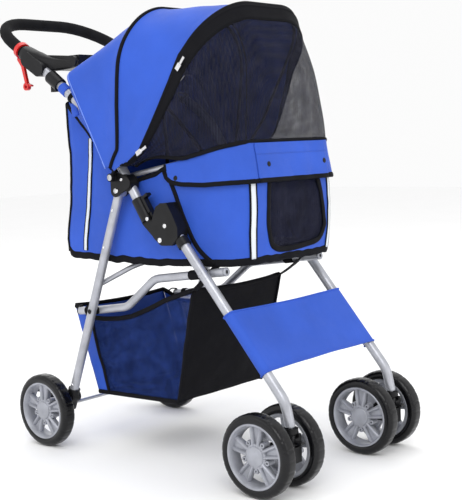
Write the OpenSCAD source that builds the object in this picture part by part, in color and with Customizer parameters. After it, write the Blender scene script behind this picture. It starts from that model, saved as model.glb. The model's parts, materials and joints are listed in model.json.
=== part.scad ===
// Four-wheel folding pet stroller: tube frame, double front casters, fabric cabin and basket.
// Millimetres. +X is forward, +Y is the stroller's left, +Z is up.
// The origin is on the ground, under the middle of the stroller's bounding box.
// Shapes are laid out from the rear axle and shifted once, by the module placed().

/* [Wheels] */
// Outer diameter of every wheel
wheel_d = 150; // [140:1:156]
// Width of a tyre
tyre_w = 30; // [26:1:32]
// Diameter where the tyre sits on the rim
rim_d = 118; // [112:1:120]
// Distance from the rear axle to the front axles
wheelbase = 578; // [570:1:585]
// How far the front axles trail behind the caster pivots
caster_trail = 39; // [36:1:42]
// Distance from the middle to each caster pivot
leg_y = 162; // [161:0.5:163]
// Distance from the middle to the centre of each rear wheel
rear_wheel_y = 190; // [189.8:0.1:192]
// Distance from a caster pivot to the centre of each of its two wheels
twin_gap = 42; // [41:1:44]

/* [Frame] */
// Outer diameter of the leg and side tubes
tube_d = 19; // [18:0.5:19]
// Wall of the leg and side tubes
tube_wall = 1.2; // [1:0.1:2]
// Outer diameter of the two link bars
link_d = 16; // [14:1:16]
// Distance from the middle to each link bar
link_y = 143.6; // [143.4:0.1:143.8]
// Diameter of the axle rods
axle_d = 8; // [6:1:8]
// Diameter of the foam handle grip
grip_d = 25; // [24:1:29]

/* [Canopy] */
// Diameter of the canopy bows
bow_d = 6; // [5:0.5:6]
// Angle of the front bow above the horizontal
front_bow_angle = 52; // [50:0.5:54]
// Reach of the front bow from its pivot
front_bow_reach = 383; // [376:1:390]
// Half width of the front bow at its top
front_bow_top = 133; // [128:1:150]
// Angle of the middle bow above the horizontal
mid_bow_angle = 80.5; // [78:0.5:88]
// Reach of the middle bow from its pivot
mid_bow_reach = 312; // [305:1:320]
// Half width of the middle bow at its top
mid_bow_top = 170; // [162:1:176]
// Corner radius of the bows
bow_corner = 112; // [100:1:118]

/* [Cabin] */
// Width of the cabin outside its fabric walls
cabin_w = 290; // [280:1:290]
// Thickness of the fabric walls of the cabin and basket
fabric_t = 2.5; // [2:0.5:3]
// Thickness of the stiff floor board
board_t = 5; // [4:0.5:6]
// Thickness of the padded mat
mat_t = 18; // [12:1:20]
// Width of the basket under the cabin
basket_w = 256; // [240:1:260]

/* [Hidden] */

wheel_r = wheel_d / 2;
rim_r = rim_d / 2;
tube_r = tube_d / 2;
link_r = link_d / 2;
axle_r = axle_d / 2;
grip_r = grip_d / 2;
bow_r = bow_d / 2;
play = 0.1;                 // radial clearance of a pin that turns
axle_end = 10.5;            // how far an axle runs past the middle of a wheel
right = -1;                 // sign of Y on the stroller's right side
left = 1;

// Pivots of the folding linkage, as [x, z] from the rear axle's foot
lock_pivot = [333, 439];    // handle side tubes to front legs
rear_pivot = [220, 530];    // handle side tubes to rear legs
link_rear_pivot = [126, 288];
link_front_pivot = [422, 381];
hub = [220, 556];           // canopy bows and front bar
hub_pin_r = 3;
lock_pin_r = 3;

// Front legs: caster end, short bend, straight run up into the lock
caster_x = wheelbase + caster_trail;
leg_foot_z = 123;
front_leg_top = [349, 473];
front_leg_points = [[caster_x, leg_foot_z], [caster_x - 9, 164], front_leg_top];
// Rear legs: axle end up to the rear pivot
rear_leg_points = [[45, 88], [220, 530]];
// Side tubes: lock end, bend, then back to the handle
lock_end = [291, 478];
side_bend = [171, 663];
handle_root = [25, 766];
handle_tilt = 31.2;         // slope of the handle loop
loop_reach = 231;           // length of the handle loop along its slope
loop_join = 30;             // where side tube and handle bar meet
// Link bars: rear end, H3, two bends, front end
link_points = [[69, 282], [126, 288], [208, 300], [286, 360], [466, 383]];

// A point of the handle loop: s along its slope, y across
function loop_point(s, y) = [
  handle_root[0] - s * cos(handle_tilt), y, handle_root[1] + s * sin(handle_tilt)];
handle_back_x = loop_point(loop_reach, 0)[0] - grip_r;
centre_x = (wheelbase + wheel_r + handle_back_x) / 2;

// ---------- helpers ----------
module placed() { translate([-centre_x, 0, 0]) children(); }

function unit(v) = v / norm(v);
function lift(points, y) = [for (p = points) [p[0], y, p[1]]];
function any_normal(d) = abs(d[1]) < 0.9 ? unit(cross(d, [0, 1, 0])) : [1, 0, 0];
function basis(x, y, z, at) = [
  [x[0], y[0], z[0], at[0]], [x[1], y[1], z[1], at[1]], [x[2], y[2], z[2], at[2]], [0, 0, 0, 1]];
function turn(a, b, c) = acos(min(1, max(-1, unit(b - a) * unit(c - b))));
function cut(points, i, r) = (i == 0 || i == len(points) - 1) ? 0
  : r * tan(turn(points[i - 1], points[i], points[i + 1]) / 2);

// Straight round bar from a to b
module bar(a, b, r) {
  d = unit(b - a);
  x = any_normal(d);
  multmatrix(basis(x, cross(d, x), d, a)) cylinder(h = norm(b - a), r = r, $fn = 48);
}

// Centre line of a bent bar: straight runs, with an arc at each inner corner
function corner_arc(points, i, r) = let (
  a = unit(points[i] - points[i - 1]), b = unit(points[i + 1] - points[i]),
  side = unit(b - a * (a * b)), angle = turn(points[i - 1], points[i], points[i + 1]),
  centre = points[i] - a * cut(points, i, r) + side * r, n = max(2, ceil(angle / 11)))
  [for (k = [0 : n]) centre + r * (a * sin(k * angle / n) - side * cos(k * angle / n))];
function centre_line(points, bends) = let (n = len(points)) [
  points[0], for (i = [1 : 1 : n - 2]) each corner_arc(points, i, bends[i]), points[n - 1]];
function heading(line, j) = let (n = len(line))
  j == 0 ? unit(line[1] - line[0]) : j == n - 1 ? unit(line[j] - line[j - 1])
  : unit(unit(line[j] - line[j - 1]) + unit(line[j + 1] - line[j]));
function carried(normal, d) = unit(normal - d * (normal * d));
function normals(line) = [for (j = 0, n = any_normal(heading(line, 0)); j < len(line);
  j = j + 1, n = carried(n, heading(line, min(j, len(line) - 1)))) n];
function ring(at, n, d, r, sides) = let (b = cross(d, n))
  [for (k = [0 : sides - 1]) at + r * (n * cos(360 * k / sides) + b * sin(360 * k / sides))];
function rings(line, r, sides) = let (ns = normals(line))
  [for (j = [0 : len(line) - 1]) each ring(line[j], ns[j], heading(line, j), r, sides)];
function skin(count, sides, first, flip) = [for (j = [0 : count - 2], k = [0 : sides - 1]) let (
  a = first + j * sides + k, b = first + j * sides + (k + 1) % sides, c = b + sides, d = a + sides)
  each (flip ? [[a, b, c], [a, c, d]] : [[a, c, b], [a, d, c]])];

// Round bar through 3-D points, each inner corner turned at its own radius
module rod(points, r, bends, sides = 16) {
  line = centre_line(points, bends);
  n = len(line);
  last = (n - 1) * sides;
  polyhedron(rings(line, r, sides), concat(skin(n, sides, 0, false),
    [[for (k = [0 : sides - 1]) k]], [[for (k = [sides - 1 : -1 : 0]) last + k]]));
}

// Hollow tube through the same kind of points
module tube(points, r, wall, bends, sides = 20) {
  line = centre_line(points, bends);
  n = len(line);
  inner = n * sides;
  last = (n - 1) * sides;
  mouth = [for (k = [0 : sides - 1]) let (m = (k + 1) % sides)
    each [[k, m, inner + m], [k, inner + m, inner + k]]];
  tail = [for (f = mouth) [for (k = [2 : -1 : 0]) f[k] + last]];
  polyhedron(concat(rings(line, r, sides), rings(line, r - wall, sides)),
    concat(skin(n, sides, 0, false), skin(n, sides, inner, true), mouth, tail));
}

// Cylinder along Y, from y0 to y1, at [x, z]
module across(at, y0, y1, r) {
  translate([at[0], max(y0, y1), at[1]]) rotate([90, 0, 0])
    cylinder(h = abs(y1 - y0), r = r, $fn = 64);
}

// Plate drawn in the XZ plane, from y0 to y1
module plate(y0, y1) {
  translate([0, max(y0, y1), 0]) rotate([90, 0, 0]) linear_extrude(abs(y1 - y0)) children();
}

// Outline round three points
module web(a, b, c, r) {
  hull() for (p = [a, b, c]) translate(p) circle(r = r, $fn = 32);
}

// Flat bar that tapers from radius ra at a to rb at b
module taper(a, b, ra, rb) {
  hull() {
    translate(a) circle(r = ra, $fn = 32);
    translate(b) circle(r = rb, $fn = 32);
  }
}

// Flat bar with round ends, from a to b
module capsule(a, b, r) {
  translate(a) circle(r = r, $fn = 64);
  translate(b) circle(r = r, $fn = 64);
  translate(a) rotate(atan2(b[1] - a[1], b[0] - a[0])) translate([0, -r]) square([norm(b - a), 2 * r]);
}

// Rivet head, domed outward on the given side
module rivet(at, y, side, r = 5) {
  translate([at[0], y, at[1]]) rotate([side < 0 ? 90 : -90, 0, 0])
    cylinder(h = 1.2, r1 = r, r2 = r * 0.7, $fn = 32);
}

// ---------- rear frame ----------
rear_leg_r = 9;
eye_half = 8.5;             // half the width of the eye at a rear leg's top
module rear_leg(side) {
  y = side * leg_y;
  foot = [rear_leg_points[0][0], y, rear_leg_points[0][1]];
  eye = [rear_pivot[0], y, rear_pivot[1]];
  up = unit(eye - foot);
  color("silver") difference() {
    union() {
      bar(foot, eye, rear_leg_r);
      across(rear_pivot, y - eye_half, y + eye_half, 12);
    }
    bar(foot - up * 2, eye - up * 40, rear_leg_r - tube_wall);
    across(rear_pivot, y - 20, y + 20, hub_pin_r + play);
    across(link_rear_pivot, y - 20, y + 20, lock_pin_r + play);
  }
}
module rear_leg_right() { placed() rear_leg(right); }
module rear_leg_left() { placed() rear_leg(left); }

arch_foot = [140, 343];
arch_top = [213, 384];
arch_r = 5;
module arch_bar() {
  foot_y = leg_y - 9 - arch_r;
  placed() color("silver") {
    rod([[arch_foot[0], -foot_y, arch_foot[1]], [arch_top[0], -112, arch_top[1]],
      [arch_top[0], 112, arch_top[1]], [arch_foot[0], foot_y, arch_foot[1]]], arch_r, [0, 42, 42, 0]);
    for (side = [right, left])
      across([arch_foot[0] + 1, arch_foot[1] + 1], side * (foot_y - 2), side * (leg_y - 8.8), arch_r);
  }
}

module rear_axle() {
  placed() color("silver") across([0, wheel_r], -rear_wheel_y - axle_end, rear_wheel_y + axle_end, axle_r);
}

carrier_in = 150;
carrier_out = 172;
brake_pivot = [-20, 92];
module axle_carriers() {
  up = unit([rear_pivot[0] - rear_leg_points[0][0], 0, rear_pivot[1] - rear_leg_points[0][1]]);
  placed() color([0.07, 0.07, 0.08]) for (side = [right, left]) {
    foot = [rear_leg_points[0][0], side * leg_y, rear_leg_points[0][1]];
    difference() {
      union() {
        plate(side * carrier_in, side * carrier_out) {
          taper([0, wheel_r], [52, 104], 13, 12);
          taper([0, wheel_r], brake_pivot, 9, 8);
        }
        bar(foot - up * 7, foot + up * 36, 12.4);
      }
      across([0, wheel_r], side * 140, side * 180, axle_r);
      bar(foot, foot + up * 80, rear_leg_r);
      across(brake_pivot, side * 140, side * 180, 2.5);
      translate([brake_pivot[0], side * (leg_y - 1), brake_pivot[1]]) rotate([0, -28, 0])
        cube([26, 13, 40], center = true);
    }
  }
}

// Foot lever of the parking brake, on a pin at the back of the axle carrier
module brake_pedal(side) {
  color([0.1, 0.1, 0.11]) {
    across(brake_pivot, side * (carrier_in - 1), side * (carrier_out + 1), 2.4);
    plate(side * (leg_y - 6), side * (leg_y + 4)) capsule(brake_pivot, [-52, 109], 6);
    plate(side * (leg_y - 11), side * (leg_y + 9)) capsule([-48, 107], [-70, 112], 4);
  }
}
module brake_pedal_right() { placed() brake_pedal(right); }
module brake_pedal_left() { placed() brake_pedal(left); }

// ---------- wheels ----------
module tyre_at(x, y) {
  shoulder = 8;
  translate([x, y, wheel_r]) rotate([90, 0, 0]) color([0.04, 0.04, 0.045]) rotate_extrude($fn = 96) union() {
    translate([rim_r, -tyre_w / 2]) square([wheel_r - shoulder - rim_r, tyre_w]);
    translate([rim_r, -tyre_w / 2 + shoulder]) square([wheel_r - rim_r, tyre_w - 2 * shoulder]);
    for (s = [-1, 1]) translate([wheel_r - shoulder, s * (tyre_w / 2 - shoulder)])
      circle(r = shoulder, $fn = 48);
  }
}

// Five twin-rib spokes between the hub and the rim; out is the side that carries the cap
module rim_at(x, y, out) {
  hub_r = 12;
  cap_r = 18;
  barrel = rim_r - play;
  face = tyre_w / 2;
  translate([x, y, wheel_r]) rotate([90 * -out, 0, 0]) color([0.55, 0.56, 0.6]) difference() {
    union() {
      rotate_extrude($fn = 96) {
        translate([barrel - 3, -face + 1]) square([3, 2 * face - 2]);
        for (s = [-1, 1]) translate([barrel - 6, s * (face - 2) - 1.5]) square([6, 3]);
      }
      cylinder(h = tyre_w, r = hub_r, center = true, $fn = 64);
      translate([0, 0, face - 4]) cylinder(h = 4, r = cap_r, $fn = 64);
      translate([0, 0, -face + 5]) cylinder(h = tyre_w - 9, r = cap_r + 4, $fn = 64);
      for (k = [0 : 4]) rotate(72 * k + 18) {
        translate([cap_r, -12, -6]) cube([barrel - 2 - cap_r, 24, 11]);
        for (s = [-1, 1]) translate([cap_r, s * 8 - 4, -8]) cube([barrel - 2 - cap_r, 8, 17]);
        rotate(36) translate([cap_r + 5, 0, 0]) cylinder(h = 23, r = 4.5, center = true, $fn = 24);
      }
    }
    translate([0, 0, -face - 1]) cylinder(h = tyre_w - 3, r = axle_r + play, $fn = 48);
  }
}

module rear_tyre_right() { placed() tyre_at(0, right * rear_wheel_y); }
module rear_rim_right() { placed() rim_at(0, right * rear_wheel_y, right); }
module rear_tyre_left() { placed() tyre_at(0, left * rear_wheel_y); }
module rear_rim_left() { placed() rim_at(0, left * rear_wheel_y, left); }

outer_y = leg_y + twin_gap;
inner_y = leg_y - twin_gap;
module front_tyre_right_outer() { placed() tyre_at(wheelbase, right * outer_y); }
module front_rim_right_outer() { placed() rim_at(wheelbase, right * outer_y, right); }
module front_tyre_right_inner() { placed() tyre_at(wheelbase, right * inner_y); }
module front_rim_right_inner() { placed() rim_at(wheelbase, right * inner_y, left); }
module front_tyre_left_outer() { placed() tyre_at(wheelbase, left * outer_y); }
module front_rim_left_outer() { placed() rim_at(wheelbase, left * outer_y, left); }
module front_tyre_left_inner() { placed() tyre_at(wheelbase, left * inner_y); }
module front_rim_left_inner() { placed() rim_at(wheelbase, left * inner_y, right); }

// ---------- link bars, cabin and basket ----------
link_bends = [0, 60, 45, 45, 0];
module link_bar(side) {
  color("silver") tube(lift(link_points, side * link_y), link_r, tube_wall, link_bends);
}
module link_bar_right() { placed() link_bar(right); }
module link_bar_left() { placed() link_bar(left); }

// Plugs in the four open ends of the link bars
module link_caps() {
  n = len(link_points);
  placed() color([0.07, 0.07, 0.08]) for (side = [right, left]) {
    ends = lift(link_points, side * link_y);
    back = unit(ends[0] - ends[1]);
    front = unit(ends[n - 1] - ends[n - 2]);
    bar(ends[0] + back * 0.05, ends[0] + back * 3, link_r);
    bar(ends[n - 1] + front * 0.05, ends[n - 1] + front * 3, link_r);
  }
}

// Collars on the link bars: the rear ones carry the pins that pass through the rear legs
module link_spacers() {
  placed() color([0.07, 0.07, 0.08]) for (side = [right, left]) {
    across(link_rear_pivot, side * (link_y + 7), side * (leg_y - 9.2), 8);
    across(link_rear_pivot, side * (link_y + 7), side * (leg_y + 9.5), lock_pin_r);
    rivet(link_rear_pivot, side * (leg_y + 9.5), side);
    across(link_front_pivot, side * (link_y + 7), side * (leg_y - tube_r - 0.6), 8);
  }
}

// Cabin outline from the side, clockwise from the lower rear corner
cabin_back = 50;
cabin_front = 507;
cabin_floor = 396;
cabin_outline = [
  [cabin_back, 432], [62, 404], [80, cabin_floor], [cabin_front, cabin_floor],
  [cabin_front, 596], [330, 565], [236, 544], [202, 540], [58, 700], [cabin_back - 2, 700]];
cabin_hollow = [
  [cabin_back + fabric_t, 434], [64, 407], [82, cabin_floor + fabric_t],
  [cabin_front - fabric_t, cabin_floor + fabric_t], [cabin_front - fabric_t, 720],
  [cabin_back - 2 + fabric_t, 720]];

// Cabin seen from above, its front corners rounded
module cabin_plan(w, front, r) {
  translate([cabin_back - 30, -w / 2]) square([front - cabin_back + 30 - r, w]);
  translate([front - r, -w / 2 + r]) square([r, w - 2 * r]);
  for (s = [-1, 1]) translate([front - r, s * (w / 2 - r)]) circle(r = r, $fn = 48);
}

module cabin_tub() {
  placed() color([0.2, 0.33, 0.8]) difference() {
    intersection() {
      plate(-cabin_w / 2, cabin_w / 2) polygon(cabin_outline);
      linear_extrude(900) cabin_plan(cabin_w, cabin_front, 34);
    }
    intersection() {
      plate(-cabin_w / 2, cabin_w / 2) polygon(cabin_hollow);
      linear_extrude(900) cabin_plan(cabin_w - 2 * fabric_t, cabin_front - fabric_t, 34 - fabric_t);
    }
  }
}

board_z = cabin_floor + fabric_t + 0.5;
module floor_board() {
  placed() color([0.12, 0.12, 0.13]) translate([90, -134, board_z]) cube([380, 268, board_t]);
}

// Mat: a flat pad with rounded edges
mat_z = board_z + board_t + 0.3;
module cabin_mat() {
  edge = mat_t / 2;
  placed() color([0.3, 0.3, 0.33]) translate([0, 0, mat_z]) {
    translate([96 + edge, -128, 0]) cube([380 - 2 * edge, 256, mat_t]);
    translate([96, -128 + edge, 0]) cube([380, 256 - 2 * edge, mat_t]);
  }
}

basket_outline = [
  [38, 286], [95, 112], [325, 118], [372, 340], [300, 318], [208, 279], [126, 268], [84, 266], [60, 286]];
basket_hollow = [[42, 360], [62, 286], [98, 112 + fabric_t], [322, 118 + fabric_t], [369, 340], [369, 360]];
module basket() {
  placed() color([0.1, 0.14, 0.35]) difference() {
    plate(-basket_w / 2, basket_w / 2) polygon(basket_outline);
    plate(-basket_w / 2 + fabric_t, basket_w / 2 - fabric_t) polygon(basket_hollow);
  }
}

// Flap over the top of the front mesh window, hinged along its upper edge
module front_flap() {
  placed() color([0.2, 0.33, 0.8]) {
    translate([cabin_front + 0.6, -106, 548]) cube([2.5, 212, 45]);
    across([cabin_front + 1.85, 593], -106, 106, 1.25);
  }
}

// ---------- handle frame ----------
side_bends = [0, 120, 90, 0];
function side_points(side) = [
  [lock_end[0], side * leg_y, lock_end[1]], [side_bend[0], side * leg_y, side_bend[1]],
  [handle_root[0], side * leg_y, handle_root[1]], loop_point(loop_join, side * (leg_y - loop_join * 0.082))];
module side_tube(side) {
  color("silver") tube(side_points(side), tube_r, tube_wall, side_bends);
}
module side_tube_right() { placed() side_tube(right); }
module side_tube_left() { placed() side_tube(left); }

loop_bends = [0, 90, 102, 102, 90, 0];
function loop_points(s0) = [
  loop_point(s0, -(leg_y - s0 * 0.082)), loop_point(110, -153), loop_point(loop_reach, -146),
  loop_point(loop_reach, 146), loop_point(110, 153), loop_point(s0, leg_y - s0 * 0.082)];
module handle_bar() {
  placed() color("silver") tube(loop_points(loop_join), tube_r, tube_wall, loop_bends);
}

grip_start = 74;
module grip_foam() {
  placed() color([0.05, 0.05, 0.055])
    tube(loop_points(grip_start), grip_r, grip_r - tube_r - play, loop_bends);
}

// Moulded tray with two cup recesses, clamped round both tubes
tray_z = 777;
tray_h = 21;
cup_r = 38;
cup_depth = 18;
cup_y = 72;
cup_x = 32;
function loop_side(s) = [loop_point(s, 0)[0], loop_point(s, 0)[2]];
ear_low = loop_side(16);
ear_high = loop_side(58);
module cup_tray() {
  placed() color([0.08, 0.08, 0.085]) difference() {
    union() {
      translate([-46, -140, tray_z]) cube([146, 280, tray_h]);
      for (side = [right, left]) {
        plate(side * 139, side * 175) capsule(ear_low, ear_high, 15);
        plate(side * 139, side * 150) taper([10, 788], [88, 785], 15, 11);
      }
    }
    for (s = [-1, 1]) translate([cup_x, s * cup_y, tray_z + tray_h - cup_depth])
      cylinder(h = cup_depth + 30, r = cup_r, $fn = 96);
    translate([-36, -20, tray_z + 6]) cube([124, 40, tray_h]);
    for (side = [right, left])
      bar(loop_point(-6, side * (leg_y + 0.4)), loop_point(109, side * 153.06), tube_r + 0.6);
  }
}

// Plastic collars on the side tubes, under the tray, with a strap eye
module tube_clamps() {
  down = unit([side_bend[0] - handle_root[0], 0, side_bend[1] - handle_root[1]]);
  placed() color([0.07, 0.07, 0.08]) for (side = [right, left]) {
    top = [handle_root[0], side * leg_y, handle_root[1]] + down * 14;
    difference() {
      union() {
        bar(top, top + down * 34, 14);
        translate(top + down * 17 + [-6, -side * 4, -14]) cube([20, 8, 14], center = true);
      }
      bar(top - down * 2, top + down * 36, tube_r + play);
    }
  }
}

// Clevis on each side tube for the rear leg, the bows and the front bar
ear_in = [149.9, 152.2];
ear_out = [171.9, 174.3];
module hub_brackets() {
  along = unit(side_bend - lock_end);
  placed() color([0.07, 0.07, 0.08]) for (side = [right, left]) difference() {
    union() {
      plate(side * ear_in[0], side * ear_in[1]) web(hub, rear_pivot, [249, 545], 12);
      plate(side * ear_out[0], side * ear_out[1]) web(hub, rear_pivot, [249, 545], 12);
      plate(side * (ear_in[1] - 0.5), side * (ear_out[0] + 0.5))
        capsule(lock_end + along * 74, lock_end + along * 86, 11.5);
    }
    bar([lock_end[0], side * leg_y, lock_end[1]], [side_bend[0], side * leg_y, side_bend[1]], tube_r + play);
    across(hub, side * 140, side * 190, hub_pin_r);
    across(rear_pivot, side * 140, side * 190, hub_pin_r);
  }
}

mid_bow_y = 178.2;          // the bows run outside the side tubes
front_bow_y = 184.6;        // and clear of each other
module hub_pins() {
  placed() color("silver") for (side = [right, left]) {
    across(hub, side * 136, side * (front_bow_y + bow_r + 1), hub_pin_r);
    across(rear_pivot, side * 148, side * 175.5, hub_pin_r);
    rivet(rear_pivot, side * 174.4, side);
    rivet(hub, side * (front_bow_y + bow_r + 0.5), side, 6);
  }
}

// Casting on the lower end of each side tube, with the tongue that turns in the lower lock
module upper_lock(side) {
  down = unit([lock_end[0] - side_bend[0], 0, lock_end[1] - side_bend[1]]);
  tip = [lock_end[0], side * leg_y, lock_end[1]];
  color([0.06, 0.06, 0.065]) difference() {
    union() {
      bar(tip - down * 42, tip + down * 5, 12.5);
      plate(side * 155.5, side * 168.5) taper(lock_end + [2, -4], lock_pivot, 11.2, 11);
    }
    bar(tip - down * 60, tip, tube_r);
    across(lock_pivot, side * 140, side * 180, lock_pin_r + play);
  }
  color("silver") rivet([300, 479], side * 174.2, side, 4);
}
module upper_lock_right() { placed() upper_lock(right); }
module upper_lock_left() { placed() upper_lock(left); }

// Sliding release on each upper lock, pulled up the tube by a finger
module lock_slider(side) {
  down = unit([lock_end[0] - side_bend[0], 0, lock_end[1] - side_bend[1]]);
  out = [-down[2], 0, down[0]];
  tip = [lock_end[0], side * leg_y, lock_end[1]];
  color([0.09, 0.09, 0.1]) multmatrix(basis(-out, [0, 1, 0], down, tip)) {
    translate([-19.5, -6, -38]) cube([6, 12, 34]);
    translate([-31, -6, -38]) cube([12, 12, 5]);
    translate([-19.5, -4, -5]) cube([5, 8, 18]);
  }
}
module lock_slider_right() { placed() lock_slider(right); }
module lock_slider_left() { placed() lock_slider(left); }

// Safety hook: a snug ring on the grip with a hanging arm and a small catch
hook_s = 98;
module safety_hook() {
  dir = unit(loop_point(110, -153) - loop_point(0, -leg_y));
  at = loop_point(hook_s, -leg_y + hook_s * 0.082);
  arm = [[at[0], at[2]] + [-10, -16.5], [-58, 786], [-48, 748]];
  placed() color([0.85, 0.06, 0.05]) {
    difference() {
      bar(at - dir * 5, at + dir * 5, grip_r + 4.8);
      bar(at - dir * 8, at + dir * 8, grip_r + 1);
    }
    plate(at[1] - 3, at[1] + 3) {
      taper(arm[0], arm[1], 4.2, 4);
      taper(arm[1], arm[2], 4, 3.4);
      taper(arm[2], arm[2] + [14, -4], 2.6, 1.8);
    }
    difference() {
      across(arm[2] - [1, 5], at[1] - 4, at[1] + 4, 8);
      across(arm[2] - [1, 5], at[1] - 5, at[1] + 5, 4);
    }
  }
}

// U bar from hub to hub that carries the cabin's front rim
front_bar_r = 5;
front_bar_y = 141.5;
front_bar_tip = [503, 605];
module front_bar() {
  placed() color("silver") difference() {
    union() {
      rod([[hub[0] + 6, -front_bar_y, hub[1] + 1], [front_bar_tip[0], -front_bar_y, front_bar_tip[1]],
        [front_bar_tip[0], front_bar_y, front_bar_tip[1]], [hub[0] + 6, front_bar_y, hub[1] + 1]],
        front_bar_r, [0, 40, 40, 0]);
      for (side = [right, left]) across(hub, side * (front_bar_y - 3.5), side * (front_bar_y + 3.5), 8);
    }
    for (side = [right, left]) across(hub, side * 130, side * 160, hub_pin_r + play);
  }
}

// ---------- canopy ----------
bow_knee = 140;             // reach where a bow starts to lean inward
function bow_point(angle, r, y) = [hub[0] + r * cos(angle), y, hub[1] + r * sin(angle)];
module bow(angle, reach, y, top) {
  color([0.07, 0.07, 0.08]) difference() {
    union() {
      rod([bow_point(angle, 6, -y), bow_point(angle, bow_knee, -y), bow_point(angle, reach, -top),
        bow_point(angle, reach, top), bow_point(angle, bow_knee, y), bow_point(angle, 6, y)],
        bow_r, [0, 60, bow_corner, bow_corner, 60, 0]);
      for (side = [right, left]) across(hub, side * (y - 2), side * (y + 2), 8);
    }
    for (side = [right, left]) across(hub, side * 160, side * 200, hub_pin_r + play);
  }
}
module front_bow() { placed() bow(front_bow_angle, front_bow_reach, front_bow_y, front_bow_top); }
module mid_bow() { placed() bow(mid_bow_angle, mid_bow_reach, mid_bow_y, mid_bow_top); }

// Half of a sheet's edge over one bow, as [reach, y] from the side to the middle
function edge_half(reach, y, top, corner, base) = let (
  lean = atan2(y - top, reach - bow_knee), centre_y = top - corner * (1 - sin(lean)) / cos(lean))
  concat([[base, y], [bow_knee, y]], [for (k = [0 : 6]) let (a = lean + (90 - lean) * k / 6)
    [reach - corner + corner * sin(a), centre_y + corner * cos(a)]]);
function mirrored(half) = [for (k = [len(half) - 1 : -1 : 0]) [half[k][0], -half[k][1]]];
// Distance by which the front seam runs ahead of the front bow, low on its sides
function ahead(reach) = lookup(reach, [[20, 12], [96, 38], [140, 35], [185, 23], [228, 13], [271, 0]]);
function turned_ahead(reach) = ahead(reach) / max(reach, 60) * 180 / PI;
function edge(angle, reach, y, top, corner, base, lead) = let (half = edge_half(reach, y, top, corner, base))
  [for (p = concat(half, mirrored(half))) bow_point(angle - lead * turned_ahead(p[0]), p[0], p[1])];
function mix(a, b, u) = [for (i = [0 : len(a) - 1]) a[i] * (1 - u) + b[i] * u];

// Closed solid between an outer and an inner sheet, each ruled from edge a to edge b
module sheet(outer_a, outer_b, inner_a, inner_b, steps) {
  n = len(outer_a);
  ring = 2 * n;
  points = [for (j = [0 : steps]) let (u = j / steps)
    each concat(mix(outer_a, outer_b, u), [for (i = [n - 1 : -1 : 0]) mix(inner_a, inner_b, u)[i]])];
  sides = [for (j = [0 : steps - 1], i = [0 : ring - 1]) let (a = j * ring + i, b = j * ring + (i + 1) % ring)
    each [[a, b, b + ring], [a, b + ring, a + ring]]];
  ends = [for (i = [0 : n - 2]) each [
    [i, ring - 1 - i, ring - 2 - i], [i, ring - 2 - i, i + 1]]];
  far = [for (f = ends) [for (k = [2 : -1 : 0]) f[k] + steps * ring]];
  polyhedron(points, concat(sides, ends, far));
}

sheet_gap = bow_r + 0.8;    // clearance between a bow and the sheet over it
sheet_t = 2;
// One canopy sheet between two edges, given as [angle, reach, side y, top y, corner, lead].
// Lead is 1 for an edge on the front seam and 0 for any other.
module canopy_sheet(a, b, base) {
  t = sheet_t;
  sheet(edge(a[0], a[1] + t, a[2] + t, a[3] + t, a[4] + t, base, a[5]),
    edge(b[0], b[1] + t, b[2] + t, b[3] + t, b[4] + t, base, b[5]),
    edge(a[0], a[1], a[2], a[3], a[4], base, a[5]), edge(b[0], b[1], b[2], b[3], b[4], base, b[5]), 6);
}
sheet_y = front_bow_y + sheet_gap;
front_reach = front_bow_reach + sheet_gap;
front_top = front_bow_top + sheet_gap;
seam_stand = 1.3;           // the seam stands this much further out, to clear the bow it leads
canopy_edge = [
  front_bow_angle + 1.2, front_reach, sheet_y + seam_stand, front_top + seam_stand, bow_corner, 1];
screen_edge = [front_bow_angle - 1.6, front_reach, sheet_y, front_top, bow_corner, 1];
mid_top = sheet_y - mid_bow_y + mid_bow_top;
mid_edge = [mid_bow_angle, mid_bow_reach + sheet_gap, sheet_y, mid_top, bow_corner, 0];
rear_edge = [118.5, 236, sheet_y, sheet_y - 1, 22, 0];
module canopy_rear() {
  placed() color([0.2, 0.33, 0.8]) canopy_sheet(rear_edge, mid_edge + [0.2, 0, 0, 0, 0, 0], 22);
}
module canopy_front() {
  placed() color([0.2, 0.33, 0.8]) canopy_sheet(mid_edge - [0.2, 0, 0, 0, 0, 0], canopy_edge, 22);
}
// Mesh between the front bow and the cabin's front rim
rim_edge = [12, 294, 153, 152, 44, 0];
module mesh_screen() {
  placed() color([0.05, 0.05, 0.06]) canopy_sheet(screen_edge, rim_edge, 45);
}

// Two zip pulls along the mesh screen's upper edge
function zip_angle(reach) = screen_edge[0] - turned_ahead(reach) - 1;
function screen_side(reach) =
  sheet_y - (sheet_y - front_top) * max(0, reach - bow_knee) / (front_reach - bow_knee);
module zip_pulls() {
  placed() color("silver") for (reach = [100, 262]) {
    p = bow_point(zip_angle(reach), reach, -screen_side(reach) - sheet_t - 3.4);
    translate(p) rotate([0, -zip_angle(reach), 0]) {
      cube([14, 3, 9], center = true);
      translate([14, 0, 0]) cube([16, 1.4, 5], center = true);
    }
  }
}

// ---------- front frame ----------
leg_bends = [0, 60, 0];
module front_leg(side) {
  stem_top = leg_foot_z + 12;
  color("silver") {
    tube(lift(front_leg_points, side * leg_y), tube_r, tube_wall, leg_bends);
    translate([caster_x - 0.5, side * leg_y, leg_foot_z + 0.1]) cylinder(h = 8, r = tube_r - 0.6, $fn = 48);
    translate([caster_x, side * leg_y, 90]) cylinder(h = stem_top - 90, r = 5, $fn = 48);
    rivet(link_front_pivot + [4, 0], side * (leg_y + tube_r - 0.4), side);
  }
}
module front_leg_right() { placed() front_leg(right); }
module front_leg_left() { placed() front_leg(left); }

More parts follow.
